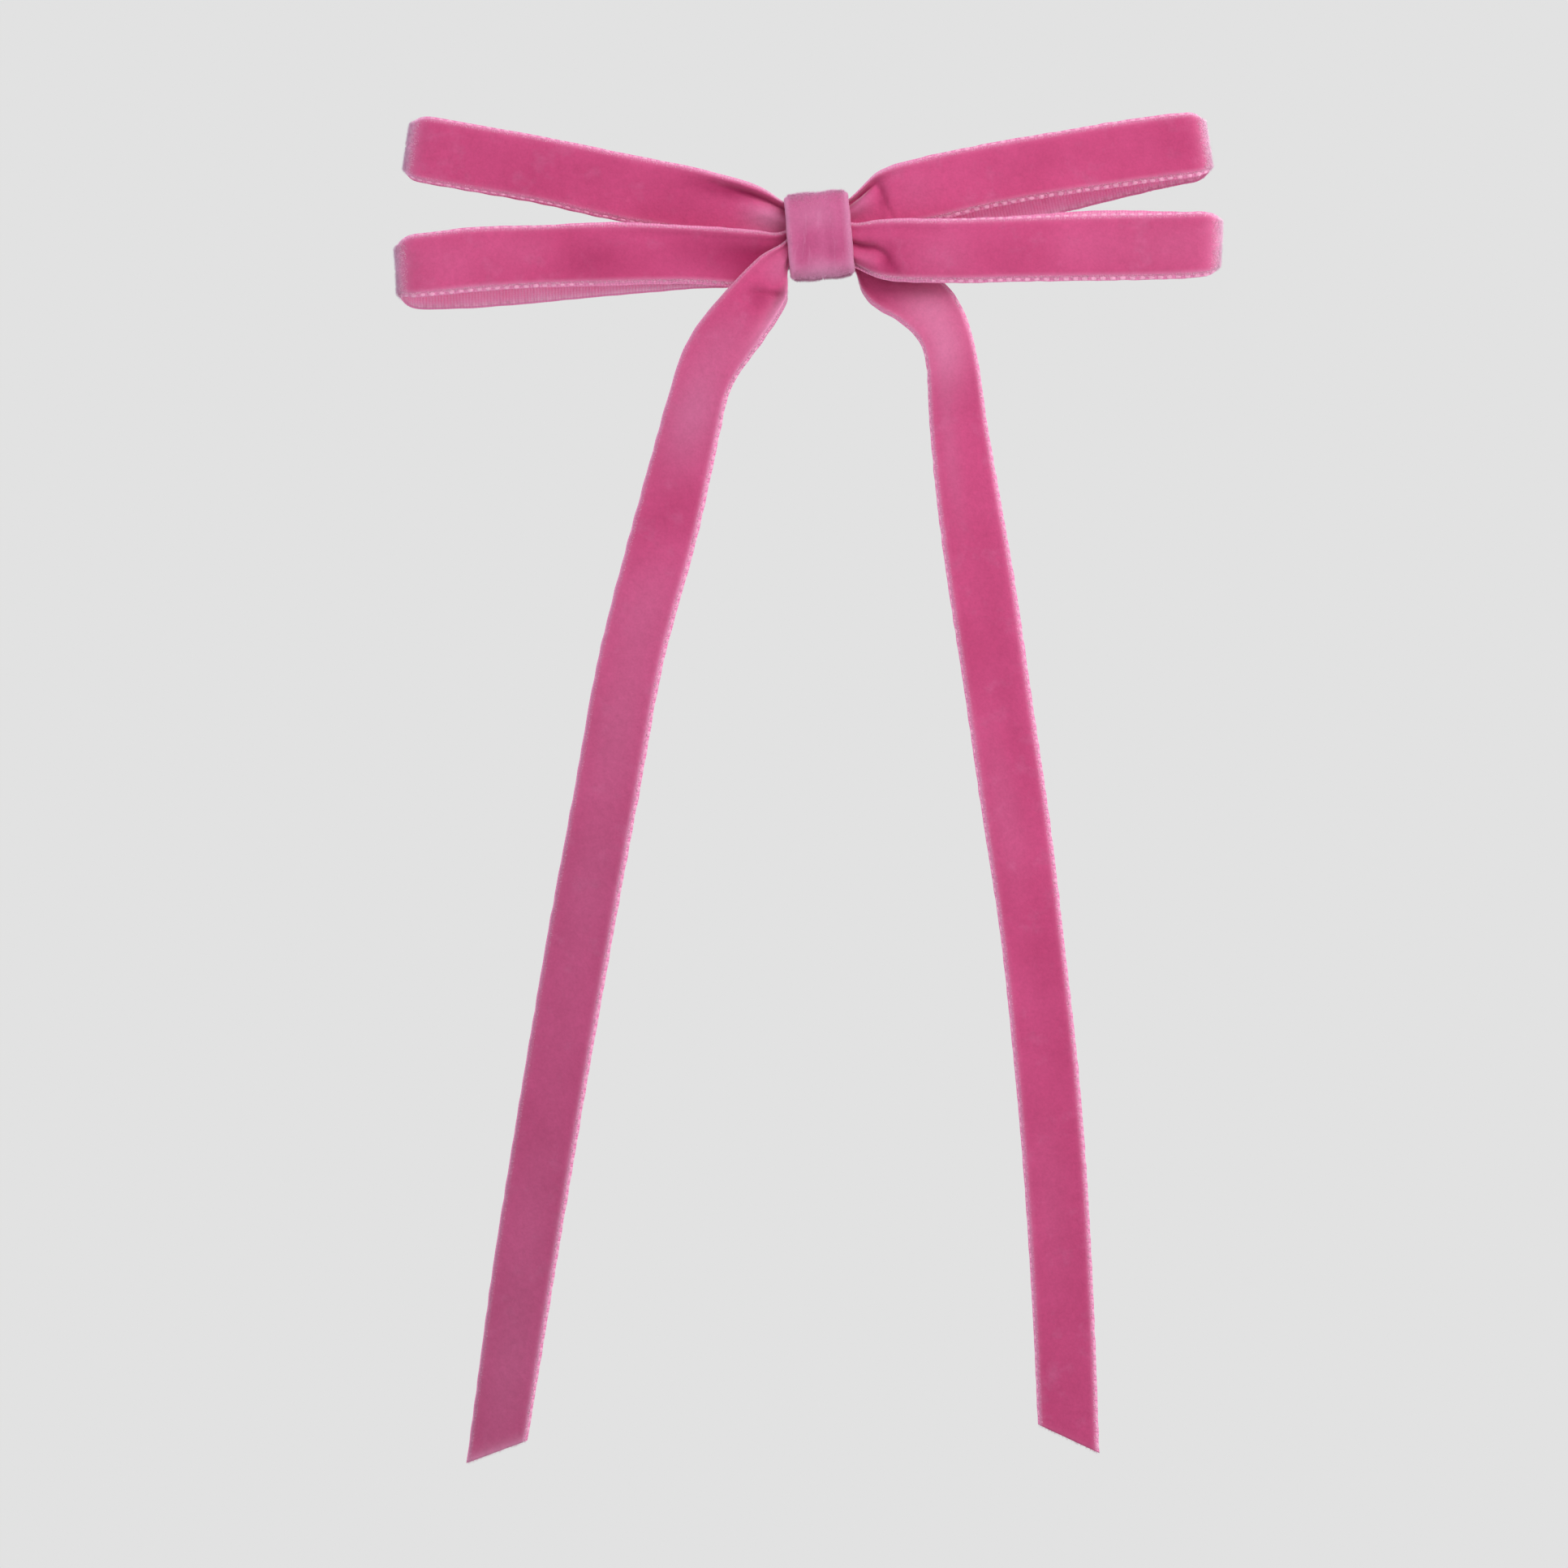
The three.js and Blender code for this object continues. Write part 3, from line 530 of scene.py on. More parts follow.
def woven_cloth(name, colour, dark, glow=0.0):
    """Ribbed cloth: ribs across the ribbon and threads along it. Glow is how much light comes through."""
    n = Nodes(name)
    where = n.position()
    ribs = n.math("SINE", n.math("MULTIPLY", n.attribute("along"), 2 * math.pi / RIB_PITCH))
    threads = n.math("SINE", n.math("MULTIPLY", n.attribute("across"), 2 * math.pi / THREAD_PITCH))
    weave = n.math("MULTIPLY_ADD", threads, 0.3, ribs)
    slubs = n.noise(where, 420.0, 2.0, 0.5)
    tone = n.math("MULTIPLY_ADD", weave, 0.13, n.math("MULTIPLY_ADD", slubs, 0.4, 0.3))
    n.set(Base_Color=n.mix(n.remap(tone, 0.2, 0.8), dark, colour), Roughness=0.72)
    n.shader.inputs["Specular IOR Level"].default_value = 0.25
    n.shader.inputs["Sheen Weight"].default_value = 0.25
    n.shader.inputs["Subsurface Weight"].default_value = glow
    n.shader.inputs["Subsurface Radius"].default_value = (1.0, 0.8, 0.9)
    n.shader.inputs["Subsurface Scale"].default_value = 0.003
    n.set(Normal=n.bump(weave, 0.4, 0.0001))
    return n.material


def sewing_thread(name, colour, dark):
    """Twisted thread with its fine plies."""
    n = Nodes(name)
    where = n.position()
    plies = n.noise(n.stretched(where, (1.0, 1.0, 0.35)), 5200.0, 2.0, 0.5)
    fuzz = n.noise(where, 1500.0, 2.0, 0.6)
    tone = n.math("MULTIPLY_ADD", plies, 0.6, n.math("MULTIPLY", fuzz, 0.4))
    n.set(Base_Color=n.mix(n.remap(tone, 0.3, 0.7), dark, colour), Roughness=0.55)
    n.shader.inputs["Sheen Weight"].default_value = 0.3
    n.set(Normal=n.bump(plies, 0.4, 0.0001))
    return n.material


def pile_tips(name, colour, dark):
    """Loose ends of pile, which catch the light one by one."""
    n = Nodes(name)
    tone = n.noise(n.position(), 1800.0, 2.0, 0.6)
    n.set(Base_Color=n.mix(n.remap(tone, 0.35, 0.65), dark, colour), Roughness=0.8)
    n.shader.inputs["Specular IOR Level"].default_value = 0.2
    n.shader.inputs["Sheen Weight"].default_value = 0.5
    return n.material


def pressed_felt(name, colour, dark):
    n = Nodes(name)
    where = n.position()
    mat = n.noise(where, 1400.0, 5.0, 0.7)
    cloud = n.noise(where, 220.0, 2.0, 0.5)
    tone = n.math("MULTIPLY_ADD", mat, 0.6, n.math("MULTIPLY", cloud, 0.4))
    n.set(Base_Color=n.mix(n.remap(tone, 0.35, 0.68), dark, colour), Roughness=0.98)
    n.shader.inputs["Sheen Weight"].default_value = 0.4
    n.set(Normal=n.bump(mat, 0.6, 0.0003))
    return n.material


NICKEL = (0.78, 0.77, 0.75, 1.0)
HANDLED_NICKEL = (0.62, 0.61, 0.58, 1.0)


def nickel_steel(name, grain):
    """Nickel-plated stamped steel: fine draw lines along the strip, faint handling marks."""
    n = Nodes(name)
    where = n.position()
    lines = n.noise(n.stretched(where, grain), 1900.0, 3.0, 0.6)
    marks = n.noise(where, 190.0, 4.0, 0.6)
    wear_and_sheen = n.mix(n.remap(marks, 0.35, 0.7), NICKEL, HANDLED_NICKEL)
    n.set(Base_Color=wear_and_sheen, Metallic=1.0)
    rough = n.math("MULTIPLY_ADD", lines, 0.16, n.math("MULTIPLY_ADD", marks, 0.16, 0.12))
    n.set(Roughness=rough, Normal=n.bump(lines, 0.12, 0.00006))
    return n.material


# Colours: pile, darker brushed pile, painted shade, dusty pile that also carries painted light, painted
# sheen.
PILE = velvet_pile(
    "velvet_pile", srgb(205, 82, 132), srgb(193, 72, 120), srgb(150, 36, 82), srgb(200, 104, 146),
    srgb(246, 172, 210),
)
BAND_PILE = velvet_pile(
    "band_velvet_pile", srgb(198, 98, 144), srgb(186, 84, 130), srgb(160, 62, 108), srgb(210, 136, 174),
    srgb(222, 160, 196), (3.2, 1.0, 0.7), (7.0, 1.0, 1.3),
)
# Painted highlight: the tips of both are far lighter than their pile, standing in for the sheen they
# catch.
PILE_TIPS = pile_tips("velvet_pile_tips", srgb(250, 202, 226), srgb(236, 166, 204))
BAND_TIPS = pile_tips("band_velvet_tips", srgb(222, 150, 190), srgb(204, 122, 166))
# Painted light: the woven back is coloured far lighter than the cloth, so its shaded inner side looks
# lit.
WEAVE = woven_cloth("ribbon_weave", srgb(255, 178, 206), srgb(240, 134, 174), glow=0.7)
# Painted light: lighter than the selvedge thread, against the shade of the pile beside it.
SELVEDGE = woven_cloth("selvedge_weave", srgb(242, 148, 192), srgb(230, 126, 176))
STITCH = sewing_thread("selvedge_stitch", srgb(246, 176, 208), srgb(238, 158, 196))
THREAD = sewing_thread("sewing_thread", srgb(186, 84, 130), srgb(150, 56, 100))
FELT = pressed_felt("felt", srgb(190, 98, 142), srgb(150, 66, 110))
STEEL = nickel_steel("nickel_strip", (0.08, 1.0, 1.0))
STEEL_SMALL = nickel_steel("nickel_small", (1.0, 0.3, 1.0))


# ---- Ribbon -----------------------------------------------------------------------------------

CLOTH, SELVEDGE_ZONE, BACK_ZONE = 0, 1, 2       # which of the ribbon's materials a strip has
FRINGE_SEED = 3                                 # a fringe's seed, above its ribbon's


def section(bare, folded=False):
    """One turn round the cross-section, as (across, height, zone of the strip from there to the next).

    Bare is how much of the selvedge the pile leaves uncovered at the top and at the bottom edge.
    A folded edge has pile all round it.
    """
    outside = CLOTH if folded else SELVEDGE_ZONE
    edges = []
    for width in bare:
        start = EDGE - width
        lip = [(5.0, -0.22), (EDGE, -0.04), (4.95, 0.06)]
        pile = [
            (start + 0.04, 0.11), (start, 0.16), (start - 0.06, 0.27), (start - 0.18, 0.37),
            (start - 0.36, 0.45), (start - 0.63, PILE_HEIGHT),
        ]
        if folded:
            lip = [(4.80, CLOTH_BACK), (4.92, -0.24), (4.99, -0.08)]
            pile = [
                (4.99, 0.0), (4.97, 0.08), (4.90, 0.24), (4.74, 0.37), (4.50, 0.46),
                (4.10, PILE_HEIGHT),
            ]
        edges.append((lip, pile))
    (top_lip, top_pile), (low_lip, low_pile) = edges
    turn = [(s, h, outside) for s, h in top_lip]
    turn += [(s, h, CLOTH) for s, h in top_pile]
    crown = np.linspace(3.5, -3.5, 21)
    turn += [(s, PILE_HEIGHT + 0.05 * (1 - (s / 3.9) ** 2), CLOTH) for s in crown]
    turn += [(-s, h, CLOTH) for s, h in reversed(low_pile[1:])]
    turn += [(-s, h, outside) for s, h in reversed(low_lip + low_pile[:1])]
    turn += [(s, CLOTH_BACK, BACK_ZONE) for s in np.linspace(-4.7, 4.7, 13)]
    turn[-1] = (*turn[-1][:2], outside)
    return turn


def edge_rows(stations):
    """Rows of (top edge point, bottom edge point), evenly spaced, with the distance along."""
    top = catmull([[x, y, z] for x, z, _, _, y in stations])
    low = catmull([[x, y, z] for _, _, x, z, y in stations])
    rows, _ = evenly(np.hstack([top, low]), FINE_STEP)
    rows = smoothed(rows, SMOOTHED_OVER)
    return evenly(rows, ROW_STEP)


def frames(rows, sign):
    """Middle, across and outward vectors, and the width, at each row."""
    top, low = rows[:, :3], rows[:, 3:]
    middle = (top + low) / 2
    across = top - low
    width = np.linalg.norm(across, axis=1)
    across = across / width[:, None]
    travel = np.gradient(middle, axis=0)
    outward = np.cross(across, travel) * sign
    outward /= np.linalg.norm(outward, axis=1)[:, None]
    return middle, across, outward, width


def creased(along, across, creases):
    """Height of the folds, each (line of (along, across), height, spread), fading at its far end."""
    total = np.zeros(np.broadcast(along, across).shape)
    for line, height, spread in creases:
        at, s = np.array(line, float).T
        centre = np.interp(along, at, s)
        ramp = np.clip((at[-1] - along) / (0.6 * (at[-1] - at[0])), 0, 1)
        fade = ramp * ramp * (3 - 2 * ramp)
        total += height * fade * np.exp(-(((across - centre) / spread) ** 2))
    return total


def patched(along, across, patches):
    """Soft elliptical patches, each (along, across, half length, half width, strength)."""
    total = np.zeros(np.broadcast(along, across).shape)
    for at, s, length, width, strength in patches:
        total += strength * np.exp(-(((along - at) / length) ** 2 + ((across - s) / width) ** 2))
    return np.clip(total, -1, 1)


def ribbon_mesh(
    name, rows, along, sign, seed, materials,
    creases=(), patches=(), painted_light_patches=(), bare=BARE, folded=False, painted_sheen_at=None, painted_falloff_along=((0, 0),),
):
    """The ribbon as one closed mesh: pile on the outward side, selvedges, and a woven back.

    The patches of painted light, the place where the ribbon turns tightly or ends and gets painted sheen,
    and a list of (along, share) for painted shade between those places, come last.
    """
    middle, across, outward, width = frames(rows, sign)
    profile = section(bare, folded)
    s, h, zone = (np.array(column) for column in zip(*profile))
    a, b = along[:, None], s[None, :]
    fold = creased(a, b, creases) + waves(a, b, seed)
    on_pile = (np.abs(b) < TUFTED_TO) & (h[None, :] > 0.05)
    tuft = np.where(on_pile, TUFT_HEIGHT * ripple(a / TUFT_SIZE, b / TUFT_SIZE, seed + 1), 0)
    fray = np.where(np.abs(b) > FRAYED_FROM, FRAY * ripple(a / FRAY_SIZE, np.sign(b), seed + 2), 0)
    reach = (b + fray) * width[:, None] / RIBBON_WIDTH
    height = h[None, :] + fold + tuft
    points = (
        middle[:, None, :]
        + across[:, None, :] * reach[..., None]
        + outward[:, None, :] * height[..., None]
    )
    if sign < 0:
        points, s, h = points[:, ::-1], s[::-1], h[::-1]
        zone = np.roll(zone[::-1], -1)
    ring = len(profile)
    faces = tube_faces(len(along), ring)
    zones = np.concatenate([np.tile(zone, len(along) - 1), [SELVEDGE_ZONE] * 2])
    obj = new_object(name, points.reshape(-1, 3), faces, materials, zones)
    shape = (len(along), ring)
    # Painted sheen and light: lighter pile beside the selvedges, where the ribbon turns or ends, and in
    # patches.
    pile_edge = EDGE - np.where(s > 0, *bare)
    edge = np.clip(1 + (np.abs(s) - pile_edge) / EDGE_SHEEN_WIDTH, 0, 1) ** 2 * (h > 0.05)
    wear_and_sheen = np.exp(-(((along - painted_sheen_at) / TURN_AND_END_SHEEN_REACH) ** 2)) if painted_sheen_at else np.zeros(len(along))
    edge_sheen_share = FOLDED_EDGE_SHEEN if folded else np.where(s > 0, *EDGE_SHEEN)
    painted_light = 1 - (1 - (edge_sheen_share * edge)[None, :]) * (1 - TURN_AND_END_SHEEN * wear_and_sheen[:, None])
    painted_light = 1 - (1 - painted_light) * (1 - patched(along[:, None], s[None, :], painted_light_patches))
    point_value(obj, "along", np.broadcast_to(along[:, None], shape))
    point_value(obj, "across", np.broadcast_to(s[None, :], shape))
    point_value(obj, "painted_light", painted_light)
    # Painted shade, growing along the ribbon between the listed places.
    falloff_at, painted_falloff = np.array(painted_falloff_along, float).T
    point_value(obj, "painted_falloff", np.broadcast_to(np.interp(along, falloff_at, painted_falloff)[:, None], shape))
    # Tone: positive for crushed pile and painted light, negative for painted shade in creases and near
    # the knot, and darker pile further out.
    point_value(obj, "tone", patched(along[:, None], s[None, :], patches))
    return obj


def selvedge_stitches(
    name, rows, along, sign, seed, creases, bare,
    knotted=(True, True), fade=STITCH_FADE, size=(1, 1),
):
    """Short light stitches, like a row of grains, along both edges.

    They sink in towards a knotted end, and at least one end is knotted.
    """
    middle, across, outward, width = frames(rows, sign)
    steps, sides = 8, 8
    swell = np.sin(np.linspace(0.06, math.pi - 0.06, steps)) ** 0.5
    angle = sign * 2 * math.pi * np.arange(sides) / sides
    parts = []
    for edge, width_bare, full_size in zip((1, -1), bare, size):
        line = (STITCH_EDGE - width_bare / 2) * edge
        half_width = STITCH_HALF_WIDTH * width_bare / BARE[1]
        fold = creased(along, line, creases) + waves(along, line, seed)
        path = middle + across * (line * width / RIBBON_WIDTH)[:, None]
        path = path + outward * (STITCH_LIFT + fold)[:, None]
        for i in range(int(along[-1] / STITCH_PITCH)):
            start = FIRST_STITCH + i * STITCH_PITCH + 0.10 * math.sin(7.1 * i + edge)
            at = np.linspace(start, start + STITCH_LENGTH, steps)
            to_knots = (start, along[-1] - start)
            to_knot = min(gap for gap, tied in zip(to_knots, knotted) if tied)
            showing = full_size * min(1.0, (to_knot - fade[0]) / (fade[1] - fade[0]))
            if at[-1] > along[-1] - 0.3 or showing < LEAST_STITCH:
                continue
            centre, a, n = (
                np.stack([np.interp(at, along, values[:, k]) for k in range(3)], 1)
                for values in (path, across, outward)
            )
            girth = showing * swell * (1 + 0.12 * math.sin(3.3 * i + 2 * edge))
            ring = (
                centre[:, None]
                + a[:, None] * (half_width * girth[:, None] * np.cos(angle))[..., None]
                + n[:, None] * (STITCH_HALF_HEIGHT * girth[:, None] * np.sin(angle))[..., None]
            )
            parts.append((ring.reshape(-1, 3), tube_faces(steps, sides)))
    return new_object(name, *merged(parts), [STITCH])


def hair_mesh(name, roots, tips, material):
    """Closed three-sided spikes from each root to its tip."""
    ahead = tips - roots
    ahead /= np.linalg.norm(ahead, axis=1)[:, None]
    side = np.cross(ahead, np.where(np.abs(ahead[:, 2:]) < 0.9, [[0.0, 0.0, 1.0]], [[1.0, 0.0, 0.0]]))
    side /= np.linalg.norm(side, axis=1)[:, None]
    other = np.cross(ahead, side)
    corners = [
        roots + HAIR_THICKNESS * (math.cos(turn) * side + math.sin(turn) * other)
        for turn in (0, 2 * math.pi / 3, 4 * math.pi / 3)
    ]
    vertices = np.stack([*corners, tips], 1).reshape(-1, 3)
    faces = []
    for base in range(0, 4 * len(roots), 4):
        a, b, c, tip = base, base + 1, base + 2, base + 3
        faces += [(a, c, b), (a, b, tip), (b, c, tip), (c, a, tip)]
    return new_object(name, vertices, faces, [material])


def pile_fringe(
    name, rows, along, sign, seed, creases=(), turns=(), turn_hairs=TURN_HAIRS, cut_end=False,
    material=PILE_TIPS,
):
    """Loose pile standing out along both edges, over each tight turn, and from a cut end."""
    rng = np.random.default_rng(seed)
    middle, across, outward, width = frames(rows, sign)
    travel = np.gradient(middle, axis=0)
    travel /= np.linalg.norm(travel, axis=1)[:, None]
    count = int(along[-1] * EDGE_HAIRS)
    at = rng.uniform(0.5, along[-1] - 0.1, count)
    s = rng.choice([-1, 1], count) * rng.uniform(*EDGE_HAIR_BAND, count)
    groups = [(at, s, rng.uniform(0.1, 1.2, count), False)]
    for turn_at in turns:
        at = turn_at + rng.triangular(-TURN_REACH, 0, TURN_REACH, turn_hairs)
        s = rng.uniform(-4.3, 4.3, turn_hairs)
        groups.append((at, s, rng.uniform(0.9, 1.57, turn_hairs), False))
    if cut_end:
        at = np.full(CUT_END_HAIRS, along[-1] - 0.15)
        s = rng.uniform(-4.8, 4.8, CUT_END_HAIRS)
        groups.append((at, s, rng.uniform(-0.3, 0.5, CUT_END_HAIRS), True))
    roots, tips = [], []
    for at, s, lift, forward in groups:
        def here(values):
            return np.stack([np.interp(at, along, values[:, k]) for k in range(3)], 1)
        x, n, t = here(across), here(outward), here(travel)
        drop = np.clip((np.abs(s) - 3.85) / 0.65, 0, 1) ** 2
        height = PILE_HEIGHT - 0.30 * drop - 0.05 + creased(at, s, creases)
        height += waves(at, s, seed - FRINGE_SEED)
        root = here(middle) + x * (s * np.interp(at, along, width) / RIBBON_WIDTH)[:, None]
        if not forward:
            root += n * height[:, None]
        sway = rng.normal(0, HAIR_SWAY, len(at))[:, None]
        if forward:
            lean = t + n * lift[:, None] + x * sway
        else:
            lean = x * (np.sign(s) * np.cos(lift))[:, None] + n * np.sin(lift)[:, None] + t * sway
        lean /= np.linalg.norm(lean, axis=1)[:, None]
        reach = rng.uniform(*HAIR_LENGTH, len(at))[:, None]
        roots.append(root)
        tips.append(root + lean * reach)
    return hair_mesh(name, np.vstack(roots), np.vstack(tips), material)


# ---- The four loops ---------------------------------------------------------------------------

def tucked_turn(rows, along):
    """The rows with both edges drawn in where the loop turns round, and the distance to that place."""
    turn_at = along[np.argmax(np.abs(rows[:, 0] + rows[:, 3]))]
    inward = rows[:, 3:] - rows[:, :3]
    inward = inward / np.linalg.norm(inward, axis=1)[:, None]
    tuck = CORNER_TUCK * np.exp(-(((along - turn_at) / TUCK_REACH) ** 2))[:, None]
    return np.hstack([rows[:, :3] + inward * tuck, rows[:, 3:] - inward * tuck]), turn_at


def make_loop(
    node, stations, sign, seed, creases, patches, painted_light_patches=(), bare=BARE, fade=STITCH_FADE, size=(1, 1),
):
    """One loop of ribbon with its edge stitches and its loose pile, in place of the CAD's loop."""
    rows, along = edge_rows(stations)
    rows, turn_at = tucked_turn(rows, along)
    ribbon = ribbon_mesh(
        node + "_ribbon", rows, along, sign, seed, [PILE, SELVEDGE, WEAVE], creases, patches, painted_light_patches,
        bare=bare, painted_sheen_at=turn_at,
    )
    stitches = selvedge_stitches(
        node + "_selvedge", rows, along, sign, seed, creases, bare, fade=fade, size=size,
    )
    fringe = pile_fringe(
        node + "_pile_tips", rows, along, sign, seed + FRINGE_SEED, creases, (turn_at,),
    )
    for obj in (ribbon, stitches, fringe):
        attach(obj, "bow_and_bar")
    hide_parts(node)


# Each loop's tone patches: negative ones paint shade into its creases and near the knot and darken the
# pile further out, positive ones mark crushed pile and painted light; its other patches paint light on
# the pile.
make_loop(
    "upper_left_loop", UPPER_LEFT, 1, 11,
    creases=[
        ([(5, 4.5), (11, 4.3), (26, 4.6)], 1.0, 0.75),
        ([(5, 3.5), (9, 3.0), (20, 3.2)], -0.8, 0.5),
        ([(5, 0.9), (14, 0.4)], 1.2, 2.2),
    ],
    patches=[
        (8.0, -0.6, 3.8, 3.2, 1.0), (9, 3.2, 4, 0.5, -1.0), (15, 2.6, 6, 1.2, -0.7),
        (20, 0.5, 9, 3, -0.1), (46, 0, 18, 5, -0.18),
    ],
    painted_light_patches=[(7.6, -0.2, 3.2, 2.6, 0.24)],
    bare=(0.36, 0.36),
    size=(0.9, 0.9),
)
make_loop(
    "upper_right_loop", UPPER_RIGHT, -1, 23,
    creases=[
        ([(5, 5.0), (11, 4.4), (20, 4.6)], 0.7, 0.7),
        ([(5, 3.9), (8, 3.4), (10.5, 3.7), (12.5, 3.9)], -1.1, 0.5),
        ([(5, 1.2), (12, 0.8)], 0.9, 1.8),
        ([(10.5, 3.6), (11.6, 1.5), (12.2, -1.5), (13.5, -4)], -0.5, 1.0),
    ],
    patches=[
        (8.2, 3.5, 2.2, 0.45, -1.0), (7.6, 1.2, 2.4, 2.2, 0.9), (11.8, 0.8, 1.0, 3.2, -0.6),
        (17, 0, 3, 4, 0.2), (34, 1, 9, 3, -0.15), (60, 0, 10, 4, -0.28),
    ],
)
make_loop(
    "lower_left_loop", LOWER_LEFT, 1, 37,
    creases=[
        ([(5, 4.3), (40, 4.5)], 0.5, 0.8),
        ([(5, 0.2), (20, 1.0)], -0.5, 1.6),
    ],
    patches=[
        (10, 0, 7, 4, -0.85), (20, 1, 7, 4, -0.35), (36, -0.5, 6, 4, -0.45), (44, 1, 6, 3, 0.2),
        (60, 0, 9, 5, 0.2),
    ],
    fade=(22.0, 46.0),
    size=(0.92, 0.92),
)
make_loop(
    "lower_right_loop", LOWER_RIGHT, -1, 41,
    creases=[
        ([(5, 4.3), (30, 4.5)], 0.45, 0.8),
        ([(5, 0.2), (9, 0.3), (11, -1.0), (12.4, -3.2), (14, -4)], -0.8, 0.5),
        ([(5, -2.2), (10.5, -2.7), (13, -3)], 0.85, 1.2),
        ([(5.5, -4.2), (9, -4.7), (10, -4.8)], -0.6, 0.4),
        ([(5, 1.9), (18, 2.2)], 0.4, 1.3),
    ],
    patches=[
        (8, -2.2, 2.6, 1.5, 0.35), (7.5, 0.0, 2.6, 0.6, -0.9), (11.4, -1.6, 1.2, 1.8, -0.8),
        (12.8, -3.2, 1.4, 1.4, -0.5), (8.2, -4.6, 1.3, 0.5, -1.0), (20, -1, 5, 4, 0.3),
        (30, -0.5, 7, 4, -0.1), (40, 0, 8, 4, 0.15), (56, 0, 10, 5, 0.3),
    ],
)


# ---- The two tails ----------------------------------------------------------------------------

def make_tail(
    side_name, stations, sign, seed, bare, creases, patches, painted_light_patches, painted_falloff_along, painted_sheen_beyond, size,
):
    """One tail with its stitches and loose pile, in place of the CAD's tail and its root."""
    rows, along = edge_rows(stations)
    name = side_name + "_tail"
    ribbon = ribbon_mesh(
        name + "_ribbon", rows, along, sign, seed, [PILE, SELVEDGE, WEAVE], creases, patches, painted_light_patches,
        bare=bare, painted_sheen_at=along[-1] + painted_sheen_beyond, painted_falloff_along=painted_falloff_along,
    )
    stitches = selvedge_stitches(
        name + "_selvedge", rows, along, sign, seed, creases, bare, (True, False), size=size,
    )
    fringe = pile_fringe(
        name + "_pile_tips", rows, along, sign, seed + FRINGE_SEED, creases, cut_end=True,
    )
    for obj in (ribbon, stitches, fringe):
        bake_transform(obj)
    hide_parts(name + "_root", name)


# Each tail's tone patches: negative ones paint shade into its creases, positive ones mark crushed pile
# and paint light down the tail; its other patches paint sheen and light, and the last list paints shade
# further down.
make_tail(
    "left", LEFT_TAIL, 1, 53, (0.24, 0.50),
    creases=[
        ([(5, 4.4), (26, 4.6)], 0.6, 0.7),
        ([(5, -4.4), (30, -4.5)], 0.8, 0.6),
        ([(9.5, -4.8), (11, -3.4), (13.5, 0.8), (16, 2.6)], -0.8, 0.9),
        ([(5, 0.0), (11, 0.6)], 0.6, 2.0),
    ],
    patches=[
        (8, 0.5, 3, 3.5, 0.6), (11.0, -3.0, 1.5, 1.2, -0.9), (13.5, 0, 2.0, 2.2, -0.5),
        (12, -3.4, 4, 0.5, -0.8), (22, 0, 5, 4, 0.35), (34, 0, 9, 5, 0.95), (52, 0, 6, 4, -0.1),
        (66, 0, 9, 5, 0.4), (84, 0, 12, 5, 0.5), (108, 0, 14, 5, 0.3), (132, 0, 12, 5, 0.12),
        (156, 0, 14, 5, 0.2), (185, 0, 20, 6, 0.45),
    ],
    painted_light_patches=[(14, -4.7, 8, 1.7, 0.5)],
    painted_falloff_along=[(28, 0), (50, 0.25), (85, 0.4), (105, 0.85), (160, 1.0)],
    painted_sheen_beyond=1.6,
    size=(0.4, 1.0),
)
make_tail(
    "right", RIGHT_TAIL, -1, 67, (0.46, 0.34),
    creases=[
        ([(5, 4.2), (24, 4.5)], 0.4, 0.8),
        ([(5, -4.2), (24, -4.4)], 0.5, 0.7),
    ],
    patches=[
        (28, -1, 8, 3, 0.5), (44, -2, 12, 1.6, 0.4), (66, 1.5, 10, 3, -0.1),
        (84, 1.5, 14, 2, -0.2), (100, -1.5, 12, 3, 0.3), (128, 1.5, 14, 3, -0.15),
        (160, -1, 14, 3, 0.15),
    ],
    painted_light_patches=[(20, 1, 4, 6, 0.22), (27, 0, 6, 5, 0.22)],
    painted_falloff_along=[(120, 0), (190, 0.25)],
    painted_sheen_beyond=3.0,
    size=(1.0, 0.7),
)


# ---- The knot band, its stitches and the tie inside it ------------------------------------------

def tilted(points):
    """Points of the level knot, turned and moved to where the knot sits."""
    x, y, z = np.asarray(points, float).T
    c, s = math.cos(KNOT_TILT), math.sin(KNOT_TILT)
    return np.stack([KNOT_X + x * c - z * s, y, KNOT_Z + x * s + z * c], 1)


